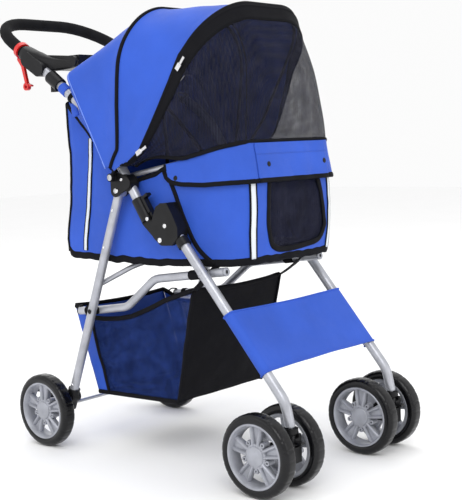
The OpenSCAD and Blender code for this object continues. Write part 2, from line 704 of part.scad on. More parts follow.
// Lower lock: two cheeks round the tongue, and a body that holds the front leg
lock_outline = [
  [308, 456], [327, 501], [340, 508], [355, 509], [369, 487], [381, 463], [380, 445], [366, 430],
  [343, 429], [323, 439]];
module lower_lock(side) {
  body = [[352, 512], [369, 487], [381, 463], [384, 440], [372, 428], [352, 450]];
  color([0.06, 0.06, 0.065]) difference() {
    union() {
      plate(side * 148, side * 155) polygon(lock_outline);
      plate(side * 169, side * 176) polygon(lock_outline);
      plate(side * 148, side * 176) intersection() {
        polygon(lock_outline);
        polygon(body);
      }
      bar([376, side * leg_y, 441], [386, side * leg_y, 429], 13);
    }
    bar(lift([front_leg_top], side * leg_y)[0], lift([front_leg_points[1]], side * leg_y)[0],
      tube_r + play / 2);
  }
  color("silver") {
    across(lock_pivot, side * 147, side * 177, lock_pin_r);
    rivet(lock_pivot, side * 176, side);
    rivet([347, 466], side * 176, side);
  }
}
module lower_lock_right() { placed() lower_lock(right); }
module lower_lock_left() { placed() lower_lock(left); }

// Fabric panel stretched between the front legs, sewn round each one
footrest_from = 0.17;
footrest_to = 0.52;
module footrest() {
  foot = front_leg_points[1];
  run = front_leg_top + [27, -32] - foot;
  a = foot + run * footrest_from;
  b = foot + run * footrest_to;
  sleeve = 12;
  placed() color([0.2, 0.33, 0.8]) {
    for (side = [right, left]) difference() {
      low = [a[0], side * leg_y, a[1]];
      high = [b[0], side * leg_y, b[1]];
      bar(low, high, sleeve);
      bar(low * 2 - high, high * 2 - low, tube_r + play);
    }
    d = unit(b - a);
    n = [-d[1], d[0]];
    plate(-(leg_y - 7), leg_y - 7) polygon([a - n * 11.5, b - n * 11.5, b - n * 9.7, a - n * 9.7]);
  }
}

// ---------- casters ----------
housing_half = 13;
module caster_housing(side) {
  y = side * leg_y;
  pivot = [caster_x, 104];
  color([0.06, 0.06, 0.065]) difference() {
    union() {
      translate([caster_x, y, 84]) cylinder(h = 36.5, r = 14, $fn = 64);
      plate(y - housing_half, y + housing_half) {
        capsule([wheelbase, wheel_r], [caster_x, 98], 11);
        polygon([[wheelbase, 64], [caster_x + 14, 60], [caster_x + 14, 110], [caster_x - 14, 110],
          [wheelbase, 86]]);
      }
      across([wheelbase, wheel_r], y - housing_half, y + housing_half, 14);
    }
    translate([caster_x, y, 86]) cylinder(h = 60, r = 5 + play, $fn = 48);
    across([wheelbase, wheel_r], y - 30, y + 30, axle_r);
    translate([caster_x + 8, y - 6.2, 88]) cube([10, 12.4, 24]);
  }
}
module caster_housing_right() { placed() caster_housing(right); }
module caster_housing_left() { placed() caster_housing(left); }

module caster_axle(side) {
  y = side * leg_y;
  color("silver") {
    across([wheelbase, wheel_r], y - twin_gap - axle_end, y + twin_gap + axle_end, axle_r);
    for (s = [-1, 1])
      across([wheelbase, wheel_r], y + s * (housing_half + 0.1), y + s * (twin_gap - tyre_w / 2 - 0.3), 7);
  }
}
module caster_axle_right() { placed() caster_axle(right); }
module caster_axle_left() { placed() caster_axle(left); }

// Small tab at the front of each caster that locks its swivel
module swivel_lock(side) {
  y = side * leg_y;
  color([0.1, 0.1, 0.11]) {
    translate([caster_x + 9, y - 5.8, 92]) cube([6, 11.6, 12]);
    translate([caster_x + 15, y - 5.8, 94]) cube([12, 11.6, 4]);
  }
}
module swivel_lock_right() { placed() swivel_lock(right); }
module swivel_lock_left() { placed() swivel_lock(left); }

// ---------- drawing ----------
rear_leg_right();
rear_leg_left();
arch_bar();
rear_axle();
axle_carriers();
brake_pedal_right();
brake_pedal_left();
rear_tyre_right();
rear_rim_right();
rear_tyre_left();
rear_rim_left();
link_bar_right();
link_bar_left();
link_caps();
link_spacers();
floor_board();
cabin_tub();
cabin_mat();
basket();
front_flap();
side_tube_right();
side_tube_left();
handle_bar();
grip_foam();
cup_tray();
tube_clamps();
hub_brackets();
hub_pins();
upper_lock_right();
upper_lock_left();
lock_slider_right();
lock_slider_left();
safety_hook();
front_bar();
mid_bow();
front_bow();
canopy_rear();
canopy_front();
mesh_screen();
zip_pulls();
front_leg_right();
front_leg_left();
lower_lock_right();
lower_lock_left();
footrest();
caster_housing_right();
caster_housing_left();
caster_axle_right();
caster_axle_left();
swivel_lock_right();
swivel_lock_left();
front_tyre_right_outer();
front_rim_right_outer();
front_tyre_right_inner();
front_rim_right_inner();
front_tyre_left_outer();
front_rim_left_outer();
front_tyre_left_inner();
front_rim_left_inner();
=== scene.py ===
"""Looks of the folding pet stroller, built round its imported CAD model. Metres, +X forward, +Z up."""
import json
import math

import bpy
import numpy as np
from mathutils import Matrix, Vector, noise


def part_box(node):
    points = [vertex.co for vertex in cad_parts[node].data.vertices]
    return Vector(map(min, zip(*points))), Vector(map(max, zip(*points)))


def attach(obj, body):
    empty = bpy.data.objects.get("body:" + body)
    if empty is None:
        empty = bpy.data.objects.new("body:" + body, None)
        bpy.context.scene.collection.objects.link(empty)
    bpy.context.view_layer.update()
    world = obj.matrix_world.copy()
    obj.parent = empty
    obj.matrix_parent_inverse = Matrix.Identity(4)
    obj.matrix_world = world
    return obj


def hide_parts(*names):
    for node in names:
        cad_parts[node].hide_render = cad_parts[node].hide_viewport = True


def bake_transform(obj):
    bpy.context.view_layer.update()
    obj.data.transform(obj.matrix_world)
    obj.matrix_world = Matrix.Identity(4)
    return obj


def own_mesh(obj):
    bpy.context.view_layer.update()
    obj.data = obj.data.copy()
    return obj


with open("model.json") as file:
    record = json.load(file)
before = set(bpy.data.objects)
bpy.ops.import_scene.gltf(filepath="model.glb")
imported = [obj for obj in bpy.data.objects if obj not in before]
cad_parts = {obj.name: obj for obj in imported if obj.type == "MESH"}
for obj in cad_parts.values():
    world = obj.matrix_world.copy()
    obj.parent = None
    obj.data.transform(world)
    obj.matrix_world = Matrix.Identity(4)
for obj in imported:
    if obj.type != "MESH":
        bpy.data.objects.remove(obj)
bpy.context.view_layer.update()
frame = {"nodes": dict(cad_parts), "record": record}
MM = 0.001


# ---------- places: millimetres from the rear axle's foot, as the CAD is laid out ----------
def middle(node):
    low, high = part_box(node)
    return (low + high) / 2


REAR_AXLE_X = middle("rear_axle").x
HUB = np.array([220.0, 556.0])          # pivot of the bows and of the front bar


def place(x, y, z):
    return np.array([REAR_AXLE_X + x * MM, y * MM, z * MM])


def mix(a, b, t):
    return a + (b - a) * t


def ease(t):
    t = min(1.0, max(0.0, t))
    return t * t * (3 - 2 * t)


def along(values, x):
    """Value at x of a line drawn through (x, value) pairs."""
    xs, ys = zip(*values)
    return float(np.interp(x, xs, ys))


def crease(p, size, depth):
    """Smooth random bump at point p in millimetres: its size across and its depth, in millimetres."""
    return depth * noise.noise(Vector(p) / size)


# ---------- mesh tools ----------
def add_object(name, points, faces, material):
    mesh = bpy.data.meshes.new(name)
    mesh.from_pydata([tuple(float(c) for c in p) for p in points], [], [list(f) for f in faces])
    mesh.validate()
    mesh.materials.append(material)
    mesh.polygons.foreach_set("use_smooth", [True] * len(mesh.polygons))
    obj = bpy.data.objects.new(name, mesh)
    bpy.context.scene.collection.objects.link(obj)
    return obj


def crisp(obj, degrees):
    """Splits the shading at edges sharper than this."""
    obj.modifiers.new("crisp", "EDGE_SPLIT").split_angle = math.radians(degrees)


def cloth(name, surface, nu, nv, material, thickness=1.2, keep=None):
    """Cloth over surface(u, v), u and v from 0 to 1, as thick as this many millimetres.
    keep(u, v) says which faces stay."""
    row = nu + 1
    points = [surface(i / nu, j / nv) for j in range(nv + 1) for i in range(row)]
    faces = [(j * row + i, j * row + i + 1, (j + 1) * row + i + 1, (j + 1) * row + i)
             for j in range(nv) for i in range(nu)
             if keep is None or keep((i + 0.5) / nu, (j + 0.5) / nv)]
    used = sorted({v for f in faces for v in f})
    index = {v: k for k, v in enumerate(used)}
    obj = add_object(name, [points[v] for v in used], [[index[v] for v in f] for f in faces], material)
    body = obj.modifiers.new("thickness", "SOLIDIFY")
    body.thickness, body.offset = thickness * MM, -1.0
    return obj


def spline(points, count, closed=False):
    """Catmull-Rom curve through points, as count points evenly spaced along it."""
    points = np.array(points, float)
    n = len(points)
    spans = n if closed else n - 1
    fine = []
    for i in range(spans):
        a, b, c, d = points[[(i + k) % n if closed else min(max(i + k, 0), n - 1) for k in (-1, 0, 1, 2)]]
        for t in np.arange(0, 1, 1 / 16):
            fine.append(0.5 * (2 * b + (c - a) * t + (2 * a - 5 * b + 4 * c - d) * t ** 2
                               + (3 * b - a - 3 * c + d) * t ** 3))
    fine.append(points[0] if closed else points[-1])
    fine = np.array(fine)
    reach = np.concatenate([[0], np.cumsum(np.linalg.norm(np.diff(fine, axis=0), axis=1))])
    wanted = np.linspace(0, reach[-1], count, endpoint=not closed)
    return np.array([[np.interp(w, reach, fine[:, k]) for k in range(3)] for w in wanted])


def steps(n):
    """Fractions from 0 to 1 in n equal steps."""
    return [k / n for k in range(n + 1)]


def turns(n):
    """Angles of n even steps round a circle."""
    return [2 * math.pi * k / n for k in range(n)]


def unit(v):
    return v / max(np.linalg.norm(v), 1e-12)


def headings(path, closed):
    ahead = np.roll(path, -1, axis=0) if closed else np.vstack([path[1:], 2 * path[-1:] - path[-2:-1]])
    behind = np.roll(path, 1, axis=0) if closed else np.vstack([2 * path[:1] - path[1:2], path[:-1]])
    d = ahead - behind
    return d / np.maximum(np.linalg.norm(d, axis=1, keepdims=True), 1e-12)


def ring_faces(rings, count, closed=False):
    """Faces between rings of count points each."""
    return [(i * count + k, i * count + (k + 1) % count,
             (i + 1) % rings * count + (k + 1) % count, (i + 1) % rings * count + k)
            for i in range(rings if closed else rings - 1) for k in range(count)]


def end_faces(rings, count):
    """Faces that close the first and the last of the rings."""
    return [tuple(range(count - 1, -1, -1)), tuple((rings - 1) * count + k for k in range(count))]


def sweep(name, path, section, material, closed=False, normals=None):
    """Closed section of (across, out) points carried along path. normals point outwards."""
    path = np.array(path, float)
    d = headings(path, closed)
    if normals is None:
        first = np.array([0, 0, 1.0]) if abs(d[0][2]) < 0.9 else np.array([1.0, 0, 0])
        normals = []
        for t in d:
            first = unit(first - t * (first @ t))
            normals.append(first)
    normals = np.array(normals, float)
    normals -= d * (normals * d).sum(1)[:, None]
    normals /= np.maximum(np.linalg.norm(normals, axis=1, keepdims=True), 1e-12)
    across = np.cross(d, normals)
    m, n = len(section), len(path)
    points = [path[i] + across[i] * s[0] + normals[i] * s[1] for i in range(n) for s in section]
    faces = ring_faces(n, m, closed) + ([] if closed else end_faces(n, m))
    return add_object(name, points, faces, material)


def oval(width, height, sides):
    """Section of a cord or hem, from its size in millimetres."""
    return [(width * MM / 2 * math.cos(a), height * MM / 2 * math.sin(a)) for a in turns(sides)]


def tape_section(width, thick):
    """Section of a flat strap with softened edges and a slight crown, from its size in millimetres."""
    w, t = width * MM / 2, thick * MM
    return [(-w, 0), (-w * 0.96, t), (0, t * 1.15), (w * 0.96, t), (w, 0), (0, -0.1 * t)]


def revolve(profile, centre, side, count, bump=None):
    """Points and faces of a closed (radius, out) profile turned round Y, in metres.
    side is the sign of its outward Y."""
    m = len(profile)
    points = []
    for i, a in enumerate(turns(count)):
        for k, (r, y) in enumerate(profile):
            r = r - (bump(i, k) if bump else 0)
            points.append([centre[0] + r * math.cos(a), centre[1] + side * y, centre[2] + r * math.sin(a)])
    return points, [f if side < 0 else f[::-1] for f in ring_faces(count, m, True)]


def disc(profile, centre, side, count=48):
    """Turned part from a profile in millimetres. A radius of 0 leaves a pinhole."""
    return revolve([(max(r, 0.01) * MM, y * MM) for r, y in profile], centre, side, count)


def turned_disc(profile, centre, direction, count):
    """Turned part that faces along direction."""
    turn = Vector(direction).normalized().to_track_quat("Y", "Z").to_matrix()
    points, faces = disc(profile, (0, 0, 0), 1, count)
    return [np.array(turn @ Vector(p)) + np.array(centre) for p in points], faces


def join_parts(parts):
    """One list of points and one of faces from several."""
    points, faces = [], []
    for p, f in parts:
        start = len(points)
        points += [list(x) for x in p]
        faces += [tuple(start + v for v in face) for face in f]
    return points, faces


def round_block(name, size, centre, material, bevel):
    """Box with rounded edges."""
    sx, sy, sz = (s / 2 for s in size)
    corners = [[x, y, z] for x in (-sx, sx) for y in (-sy, sy) for z in (-sz, sz)]
    faces = [(0, 1, 3, 2), (4, 6, 7, 5), (0, 4, 5, 1), (2, 3, 7, 6), (0, 2, 6, 4), (1, 5, 7, 3)]
    obj = add_object(name, [Vector(c) + centre for c in corners], faces, material)
    edge = obj.modifiers.new("edge", "BEVEL")
    edge.width, edge.segments = bevel, 3
    return obj


# ---------- materials ----------
def node_tree(name, color, roughness, **values):
    m = bpy.data.materials.new(name)
    m.use_nodes = True
    tree = m.node_tree
    shader = tree.nodes["Principled BSDF"]
    shader.inputs["Base Color"].default_value = (*color, 1)
    shader.inputs["Roughness"].default_value = roughness
    for key, value in values.items():
        shader.inputs[key.replace("_", " ")].default_value = value
    return m, tree, shader


def add_node(tree, kind, inputs=None, **settings):
    n = tree.nodes.new(kind)
    for key, value in settings.items():
        setattr(n, key, value)
    for key, value in (inputs or {}).items():
        socket = n.inputs[key]
        if isinstance(value, bpy.types.NodeSocket):
            tree.links.new(value, socket)
        else:
            socket.default_value = value
    return n


def object_place(tree):
    return add_node(tree, "ShaderNodeTexCoord").outputs["Object"]


def noise_texture(tree, where, scale, detail):
    inputs = {"Vector": where, "Scale": scale, "Detail": detail}
    return add_node(tree, "ShaderNodeTexNoise", inputs).outputs["Fac"]


def bands(tree, where, scale, distortion, direction):
    inputs = {"Vector": where, "Scale": scale, "Distortion": distortion}
    return add_node(tree, "ShaderNodeTexWave", inputs, bands_direction=direction).outputs["Fac"]


def maths(tree, operation, *values):
    return add_node(tree, "ShaderNodeMath", dict(enumerate(values)), operation=operation).outputs[0]


def speckle(tree, scale, detail=3.0):
    return noise_texture(tree, object_place(tree), scale, detail)


def threads(tree, per_metre):
    """Crossing threads: bands along X, Y and Z, so that every panel shows two of them.
    Bands turn 20 radians in a metre for each unit of their scale."""
    where = object_place(tree)
    x, y, z = (bands(tree, where, per_metre * math.pi / 10, 0.4, d) for d in "XYZ")
    return maths(tree, "ADD", maths(tree, "MULTIPLY", x, y), z)


def vary(tree, shader, fac, color, low, high):
    """Colour that wanders between low and high times the base colour."""
    ramp = add_node(tree, "ShaderNodeValToRGB", {"Fac": fac})
    ramp.color_ramp.elements[0].position, ramp.color_ramp.elements[1].position = 0.3, 0.7
    ramp.color_ramp.elements[0].color = (*(c * low for c in color), 1)
    ramp.color_ramp.elements[1].color = (*(min(1, c * high) for c in color), 1)
    tree.links.new(ramp.outputs["Color"], shader.inputs["Base Color"])


def bumps(tree, shader, layers):
    """Stacked bump: layers of (height socket, distance in metres, strength)."""
    last = None
    for height, distance, strength in layers:
        inputs = {"Height": height, "Distance": distance, "Strength": strength}
        if last is not None:
            inputs["Normal"] = last
        last = add_node(tree, "ShaderNodeBump", inputs).outputs["Normal"]
    tree.links.new(last, shader.inputs["Normal"])


def rough_range(tree, shader, fac, low, high):
    spread = add_node(tree, "ShaderNodeMapRange", {"Value": fac, "To Min": low, "To Max": high})
    tree.links.new(spread.outputs[0], shader.inputs["Roughness"])


def woven(name, color, per_metre=900, low=0.9, high=1.1, sheen=0.04, roughness=0.62, crumple=0.0016,
          gloss=0.3):
    """Cloth: crumple is the depth in metres of its soft unevenness."""
    m, tree, shader = node_tree(name, color, roughness, Sheen_Weight=sheen, Sheen_Roughness=0.4,
                                Specular_IOR_Level=gloss)
    vary(tree, shader, speckle(tree, 9, 4), color, low, high)
    bumps(tree, shader, [(speckle(tree, 22, 2), crumple, 0.55), (speckle(tree, 95, 3), crumple / 4, 0.5),
                         (threads(tree, per_metre), 0.00025, 0.35)])
    rough_range(tree, shader, speckle(tree, 60), roughness - 0.08, roughness + 0.08)
    return m


FOLD_LIGHT_SCALE = (34, 34, 2.5)              # painted light: streaks in a hanging net's opacity that stand in for light caught on its folds, close across and long down
RIB_SCALE, RIB_SHARE = 52.0, 0.55       # its woven ribs, about 166 to the metre
PLAIN_TOP, RIBBED_TOP = 1.5, 2.05       # pattern height at which a net is as solid as it gets


def netting(name, color, per_metre, low, high, fold_light_streaks=0.0):
    """Open mesh: the threads are solid and the holes let light through. With streaks it has ribs too, and
    its opacity runs in long streaks of painted light that stand in for light caught on hanging folds."""
    m, tree, shader = node_tree(name, color, 0.75, Specular_IOR_Level=0.08)
    pattern = threads(tree, per_metre)
    top = PLAIN_TOP
    if fold_light_streaks:
        where = object_place(tree)
        # Painted light: long streaks of opacity that stand in for light caught on the net's hanging folds
        fold_light_place = add_node(tree, "ShaderNodeMapping", {"Vector": where, "Scale": FOLD_LIGHT_SCALE}).outputs["Vector"]
        pattern = maths(tree, "MULTIPLY_ADD", noise_texture(tree, fold_light_place, 1.0, 2.0), fold_light_streaks, pattern)
        for direction in "XY":
            rib = bands(tree, where, RIB_SCALE, 0.6, direction)
            pattern = maths(tree, "MULTIPLY_ADD", rib, RIB_SHARE, pattern)
        top = RIBBED_TOP + fold_light_streaks
    inputs = {"Value": pattern, "From Max": top, "To Min": low, "To Max": high}
    alpha = add_node(tree, "ShaderNodeMapRange", inputs)
    tree.links.new(alpha.outputs[0], shader.inputs["Alpha"])
    vary(tree, shader, speckle(tree, 40), color, 0.7, 1.4)
    bumps(tree, shader, [(pattern, 0.0004, 0.5)])
    return m


def moulded(name, color, roughness=0.45, grain=1800, worn=1.5, **values):
    m, tree, shader = node_tree(name, color, roughness, **values)
    vary(tree, shader, speckle(tree, 35), color, 0.85, worn)
    bumps(tree, shader, [(speckle(tree, grain, 2), 0.00012, 0.3)])
    rough_range(tree, shader, speckle(tree, 90), roughness - 0.07, roughness + 0.1)
    return m


BLUE = (0.024, 0.088, 0.50)
BLACK = (0.006, 0.006, 0.008)
blue = woven("blue_polyester", BLUE)
pale_edge = woven("blue_piping", (0.14, 0.24, 0.70), sheen=0.5)
binding = woven("black_binding", BLACK, per_metre=1400, sheen=0.0, roughness=0.75, crumple=0.0008, gloss=0.1)
black_cloth = woven("black_polyester", (0.007, 0.007, 0.009), sheen=0.0, roughness=0.75, crumple=0.003,
                    gloss=0.1)
reflective = woven("reflective_tape", (0.72, 0.76, 0.80), per_metre=1200, low=0.92, high=1.04, roughness=0.38,
                   crumple=0.0006)
grey_quilt = woven("grey_quilt", (0.09, 0.09, 0.10), roughness=0.75)
screen_net = netting("screen_net", (0.020, 0.021, 0.034), 700, 0.06, 0.74, 1.0)
window_net = netting("window_net", (0.012, 0.013, 0.026), 700, 0.50, 0.95, 0.8)
basket_net = netting("basket_net", (0.010, 0.024, 0.11), 520, 0.45, 0.95)
plastic = moulded("black_plastic", (0.006, 0.006, 0.007), 0.36, Specular_IOR_Level=0.22)
board_plastic = moulded("board_plastic", (0.05, 0.05, 0.055), 0.6)
foam = moulded("foam_grip", (0.007, 0.007, 0.008), 0.85, grain=900, Specular_IOR_Level=0.12)
red = moulded("red_plastic", (0.62, 0.012, 0.010), 0.3, worn=1.1, Coat_Weight=0.3)
tube_paint = moulded("silver_paint", (0.43, 0.44, 0.48), 0.34, grain=3000, worn=1.12, Metallic=0.55)
steel = moulded("zinc_steel", (0.55, 0.56, 0.58), 0.3, worn=1.1, Metallic=1.0)
chrome = moulded("bright_metal", (0.75, 0.75, 0.77), 0.18, worn=1.05, Metallic=1.0)
rim_paint = moulded("rim_silver", (0.34, 0.35, 0.39), 0.38, grain=2600, worn=1.15, Metallic=0.35)
tyre_rubber = moulded("tyre_rubber", (0.004, 0.004, 0.005), 0.22, grain=1400, worn=1.4,
                      Specular_IOR_Level=0.3)
SLOT_LOOKS = {"tube_paint": tube_paint, "steel": steel, "zip_metal": chrome, "bow": binding,
              "tyre": tyre_rubber, "rim": rim_paint, "black_plastic": plastic, "blue_fabric": blue,
              "mesh": screen_net, "basket_mesh": basket_net, "mat_fabric": grey_quilt,
              "board": board_plastic, "foam": foam, "red_plastic": red}
WELD_GAP = 0.00002                      # metres between mesh points that are one
CAD_EDGE, WHEEL_EDGE, TRAY_EDGE = 38, 42, 60    # degrees past which an edge is crisp


def finish_cad_nodes():
    """Smooth shading with crisp edges, and the slot's material, on every CAD node."""
    slots = {s["node"]: s["material_slot"] for s in frame["record"]["subparts"]}
    for name, obj in frame["nodes"].items():
        obj.data.materials.clear()
        obj.data.materials.append(SLOT_LOOKS[slots[name]])
        if "custom_normal" in obj.data.attributes:
            obj.data.attributes.remove(obj.data.attributes["custom_normal"])
        obj.data.polygons.foreach_set("use_smooth", [True] * len(obj.data.polygons))
        obj.modifiers.new("weld", "WELD").merge_threshold = WELD_GAP
        crisp(obj, CAD_EDGE)


finish_cad_nodes()


# ---------- wheels ----------
WHEEL_R = 75 * MM
RIM_R = 59 * MM
TYRE_HALF = 15 * MM
TREAD_STEPS = 240


def tyre_parts(centre, side):
    """Rounded tyre, with short tread cuts round each shoulder."""
    flat, shoulder = 6 * MM, 9 * MM
    profile = [(RIM_R, -TYRE_HALF + 1 * MM), (RIM_R + 1.2 * MM, -TYRE_HALF)]
    for s in (-1, 1):
        for t in steps(6):
            a = math.pi / 2 * (t if s < 0 else 1 - t)
            profile.append((WHEEL_R - shoulder + shoulder * math.sin(a), s * (flat + shoulder * math.cos(a))))
    profile += [(RIM_R + 1.2 * MM, TYRE_HALF), (RIM_R, TYRE_HALF - 1 * MM)]

    def tread(i, k):
        r, y = profile[k]
        cut = i % 10 < 2 and WHEEL_R - 6 * MM < r and abs(y) > flat
        return 0.5 * MM if cut else 0.0
    return revolve(profile, centre, side, TREAD_STEPS, tread)


def spoke_parts(centre, side, angle):
    """Twin-rib spoke: a recessed web between two rounded ribs that spread towards the rim."""
    ca, sa = math.cos(angle), math.sin(angle)

    def turned(r, t, y):
        return [centre[0] + r * ca - t * sa, centre[1] + side * y, centre[2] + r * sa + t * ca]
    web = [(15, -7), (53, -13), (53, 13), (15, 7)]
    points = [turned(r * MM, t * MM, y * MM) for y in (-4, 3.5) for r, t in web]
    parts = [(points, [(0, 1, 2, 3), (7, 6, 5, 4), (0, 4, 5, 1), (1, 5, 6, 2), (2, 6, 7, 3), (3, 7, 4, 0)])]
    # A rib's stations as (distance from the hub, from the spoke's middle line, height, half width)
    ribs = [(15, 5.0, 10.5, 3.6), (24, 6.0, 10.2, 3.8), (34, 7.6, 9.4, 4.0), (45, 9.3, 8.2, 4.4),
            (54, 10.6, 7.0, 5.0)]
    ring = 10
    for s in (-1, 1):
        points = []
        for r, t, top, half in ribs:
            for a in turns(ring):
                points.append(turned(r * MM, (s * t + half * math.cos(a)) * MM,
                                     (top - 6 + 6 * math.sin(a)) * MM))
        parts.append((points, ring_faces(len(ribs), ring)))
    return parts


def rim_parts(centre, side):
    """Deep rim, five spokes, a flat round cap and a small ring boss between each pair of spokes."""
    barrel = [(59, 14), (58, 15), (56, 15), (54.5, 13.5), (52.5, 5), (51.5, 2), (51.5, -12), (54, -14),
              (58, -14), (59, -13)]
    cap = [(0, 12.2), (16.5, 12.2), (18, 11.2), (18.6, 9), (22, 8.2), (23, 6), (23, -13), (0, -13)]
    boss = [(1.6, 6.5), (2.2, 8.6), (3.6, 9.0), (4.6, 8.2), (5.0, 5), (5.0, -8), (1.6, -8)]
    boss_reach = 26.5 * MM
    parts = [disc(barrel, centre, side, 120), disc(cap, centre, side)]
    for k in range(5):
        angle = math.radians(72 * k + 18)
        parts += spoke_parts(centre, side, angle)
        between = angle + math.radians(36)
        across, up = boss_reach * math.cos(between), boss_reach * math.sin(between)
        parts.append(disc(boss, [centre[0] + across, centre[1], centre[2] + up], side, 20))
    return parts


def make_wheel(tyre_node, rim_node, body, side):
    centre = middle(tyre_node)
    points, faces = tyre_parts(centre, side)
    tyre = add_object(tyre_node + "_look", points, faces, tyre_rubber)
    points, faces = join_parts(rim_parts(centre, side))
    rim = add_object(rim_node + "_look", points, faces, rim_paint)
    for piece, node, slot in ((tyre, tyre_node, "tyre"), (rim, rim_node, "rim")):
        crisp(piece, WHEEL_EDGE)
        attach(piece, body)
        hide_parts(node)


for side_name, side in (("right", -1), ("left", 1)):
    make_wheel(f"rear_tyre_{side_name}", f"rear_rim_{side_name}", f"rear_wheel_{side_name}", side)
    for place_name, out in (("outer", side), ("inner", -side)):
        make_wheel(f"front_tyre_{side_name}_{place_name}", f"front_rim_{side_name}_{place_name}",
                   f"front_wheel_{side_name}_{place_name}", out)


# ---------- cabin ----------
CABIN_HALF = 143.5
CABIN_BACK, CABIN_FRONT = 50.0, 507.0
FRONT_CORNER, REAR_CORNER = 46.0, 16.0
# Runs of the plan's outline: half the front, a corner, a side, a corner, half the back
RUNS = [CABIN_HALF - FRONT_CORNER, math.pi / 2 * FRONT_CORNER,
        CABIN_FRONT - FRONT_CORNER - CABIN_BACK - REAR_CORNER, math.pi / 2 * REAR_CORNER,
        CABIN_HALF - REAR_CORNER]
HALF_LOOP = sum(RUNS)


def plan(d):
    """Point and outward direction on the cabin's plan, d millimetres round from the middle of the
    front. Positive d goes round the stroller's right side."""
    sign = -1 if d > 0 else 1
    d = min(abs(d), HALF_LOOP)
    a, b, c, e, _ = RUNS
    if d <= a:
        x, y, nx, ny = CABIN_FRONT, d, 1, 0
    elif d <= a + b:
        t = (d - a) / FRONT_CORNER
        x = CABIN_FRONT - FRONT_CORNER * (1 - math.cos(t))
        y = a + FRONT_CORNER * math.sin(t)
        nx, ny = math.cos(t), math.sin(t)
    elif d <= a + b + c:
        x, y, nx, ny = CABIN_FRONT - FRONT_CORNER - (d - a - b), CABIN_HALF, 0, 1
    elif d <= a + b + c + e:
        t = (d - a - b - c) / REAR_CORNER
        x = CABIN_BACK + REAR_CORNER * (1 - math.sin(t))
        y = CABIN_HALF - REAR_CORNER * (1 - math.cos(t))
        nx, ny = -math.sin(t), math.cos(t)
    else:
        x, y, nx, ny = CABIN_BACK, CABIN_HALF - REAR_CORNER - (d - a - b - c - e), -1, 0
    return x, sign * y, nx, sign * ny


def rim_height(x):
    """Top of the cabin wall at x."""
    return along([(50, 704), (60, 700), (205, 552), (240, 546), (300, 560), (330, 574), (503, 604),
                  (507, 604)], x)


def foot_height(x):
    return along([(50, 416), (56, 404), (70, 396), (120, 394), (300, 391), (400, 394), (507, 399)], x)


def rear_shift(x, z):
    """The cabin's back stands further back at its foot than half way up."""
    return ease((170 - x) / 110) * along([(396, -13), (430, -14), (500, 2), (600, 9), (700, 0)], z)


def cabin_point(d, z, lift=0.0):
    """Point on the cabin wall at height z: the wall is crowned between its seams and lightly creased."""
    x, y, nx, ny = plan(d)
    low, high = foot_height(x), rim_height(x)
    v = (z - low) / max(high - low, 1)
    on_front = ease((abs(nx) - 0.2) / 0.8) if nx > 0 else 0
    crown = mix(2.6, 9.0, on_front) * math.sin(math.pi * min(1, max(0, v))) ** 0.8
    if nx < 0:
        crown = 4.0 * abs(nx) * math.sin(math.pi * min(1, max(0, v)))
    fold = crease((x, y, z * 0.45), 46, 2.2) + crease((x * 1.2, y, z), 17, 0.7)
    tilt = 0.0 if abs(nx) < 0.5 else 0.5 * math.sin(d * 0.11 + z * 0.02)
    out = crown + min(fold, 1.2) + tilt + lift
    return place(x + nx * out + rear_shift(x, z), y + ny * out, z)


def wall_point(d, v, lift=0.0):
    x = plan(d)[0]
    return cabin_point(d, mix(foot_height(x), rim_height(x), v), lift)


def outward(n, d):
    """Unit vector along n, turned to face out of the cabin at d."""
    n = unit(n)
    _, _, nx, ny = plan(d)
    return n if n[0] * nx + n[1] * ny > 0 else -n


def wall_normal(d, z):
    a = cabin_point(d + 1.5, z) - cabin_point(d - 1.5, z)
    b = cabin_point(d, z + 2) - cabin_point(d, z - 2)
    return outward(np.cross(a, b), d)


def d_at(x, side):
    """Distance round the plan of the point at x on the side wall. side is 1 on the right."""
    return side * (RUNS[0] + RUNS[1] + CABIN_FRONT - FRONT_CORNER - x)


# Outline of the front window as (distance to the left of the middle, height)
WINDOW = [(-70, 540), (-66, 549), (-50, 553), (52, 553), (70, 550), (78, 540), (97, 462), (97, 446),
          (88, 431), (72, 422), (20, 416), (-30, 415), (-56, 421), (-68, 433), (-76, 468), (-75, 500)]


def inside_window(d, z):
    """True where the wall d round from the middle, at height z, is cut out for the window."""
    y = -d
    hit = False
    n = len(WINDOW)
    for i in range(n):
        (y0, z0), (y1, z1) = WINDOW[i], WINDOW[(i + 1) % n]
        if (z0 > z) != (z1 > z) and y < (y1 - y0) * (z - z0) / (z1 - z0) + y0:
            hit = not hit
    return hit


def fitting(piece, body):
    """A piece that keeps its shape on one body."""
    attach(piece, body)
    return piece


def on_fold(piece, body="link_frame"):
    """A piece that rides one body, with a mesh of its own."""
    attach(piece, body)
    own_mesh(piece)
    return piece


def loop_d(u):
    return HALF_LOOP * (1 - 2 * u)


def wall_z(u, v):
    x = plan(loop_d(u))[0]
    return mix(foot_height(x), rim_height(x), v)


cabin = cloth("cabin_walls", lambda u, v: wall_point(loop_d(u), v), 300, 40, blue,
              keep=lambda u, v: not inside_window(loop_d(u), wall_z(u, v)))
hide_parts("cabin_tub")
on_fold(cabin)


def wall_strip(name, marks, width, material, lift, thick, sides=None, closed=False, count=None, wave=0.0):
    """Tape, or with a count of sides binding, that runs over the cabin wall through marks of (d, z)."""
    marks = [(d, z, 0) for d, z in marks]
    flat = spline(marks, count or max(12, 10 * len(marks)), closed)
    path = [cabin_point(d, z + wave * noise.noise(Vector((d / 23, z / 40, 3))), lift) for d, z, _ in flat]
    normals = [wall_normal(d, z) for d, z, _ in flat]
    section = tape_section(width, thick) if sides is None else oval(width, thick, sides)
    return on_fold(sweep(name, path, section, material, closed, normals))


def round_the_cabin(height, step=8):
    ds = np.append(np.arange(-HALF_LOOP, HALF_LOOP, step), HALF_LOOP)
    return [(d, height(plan(d)[0])) for d in ds]


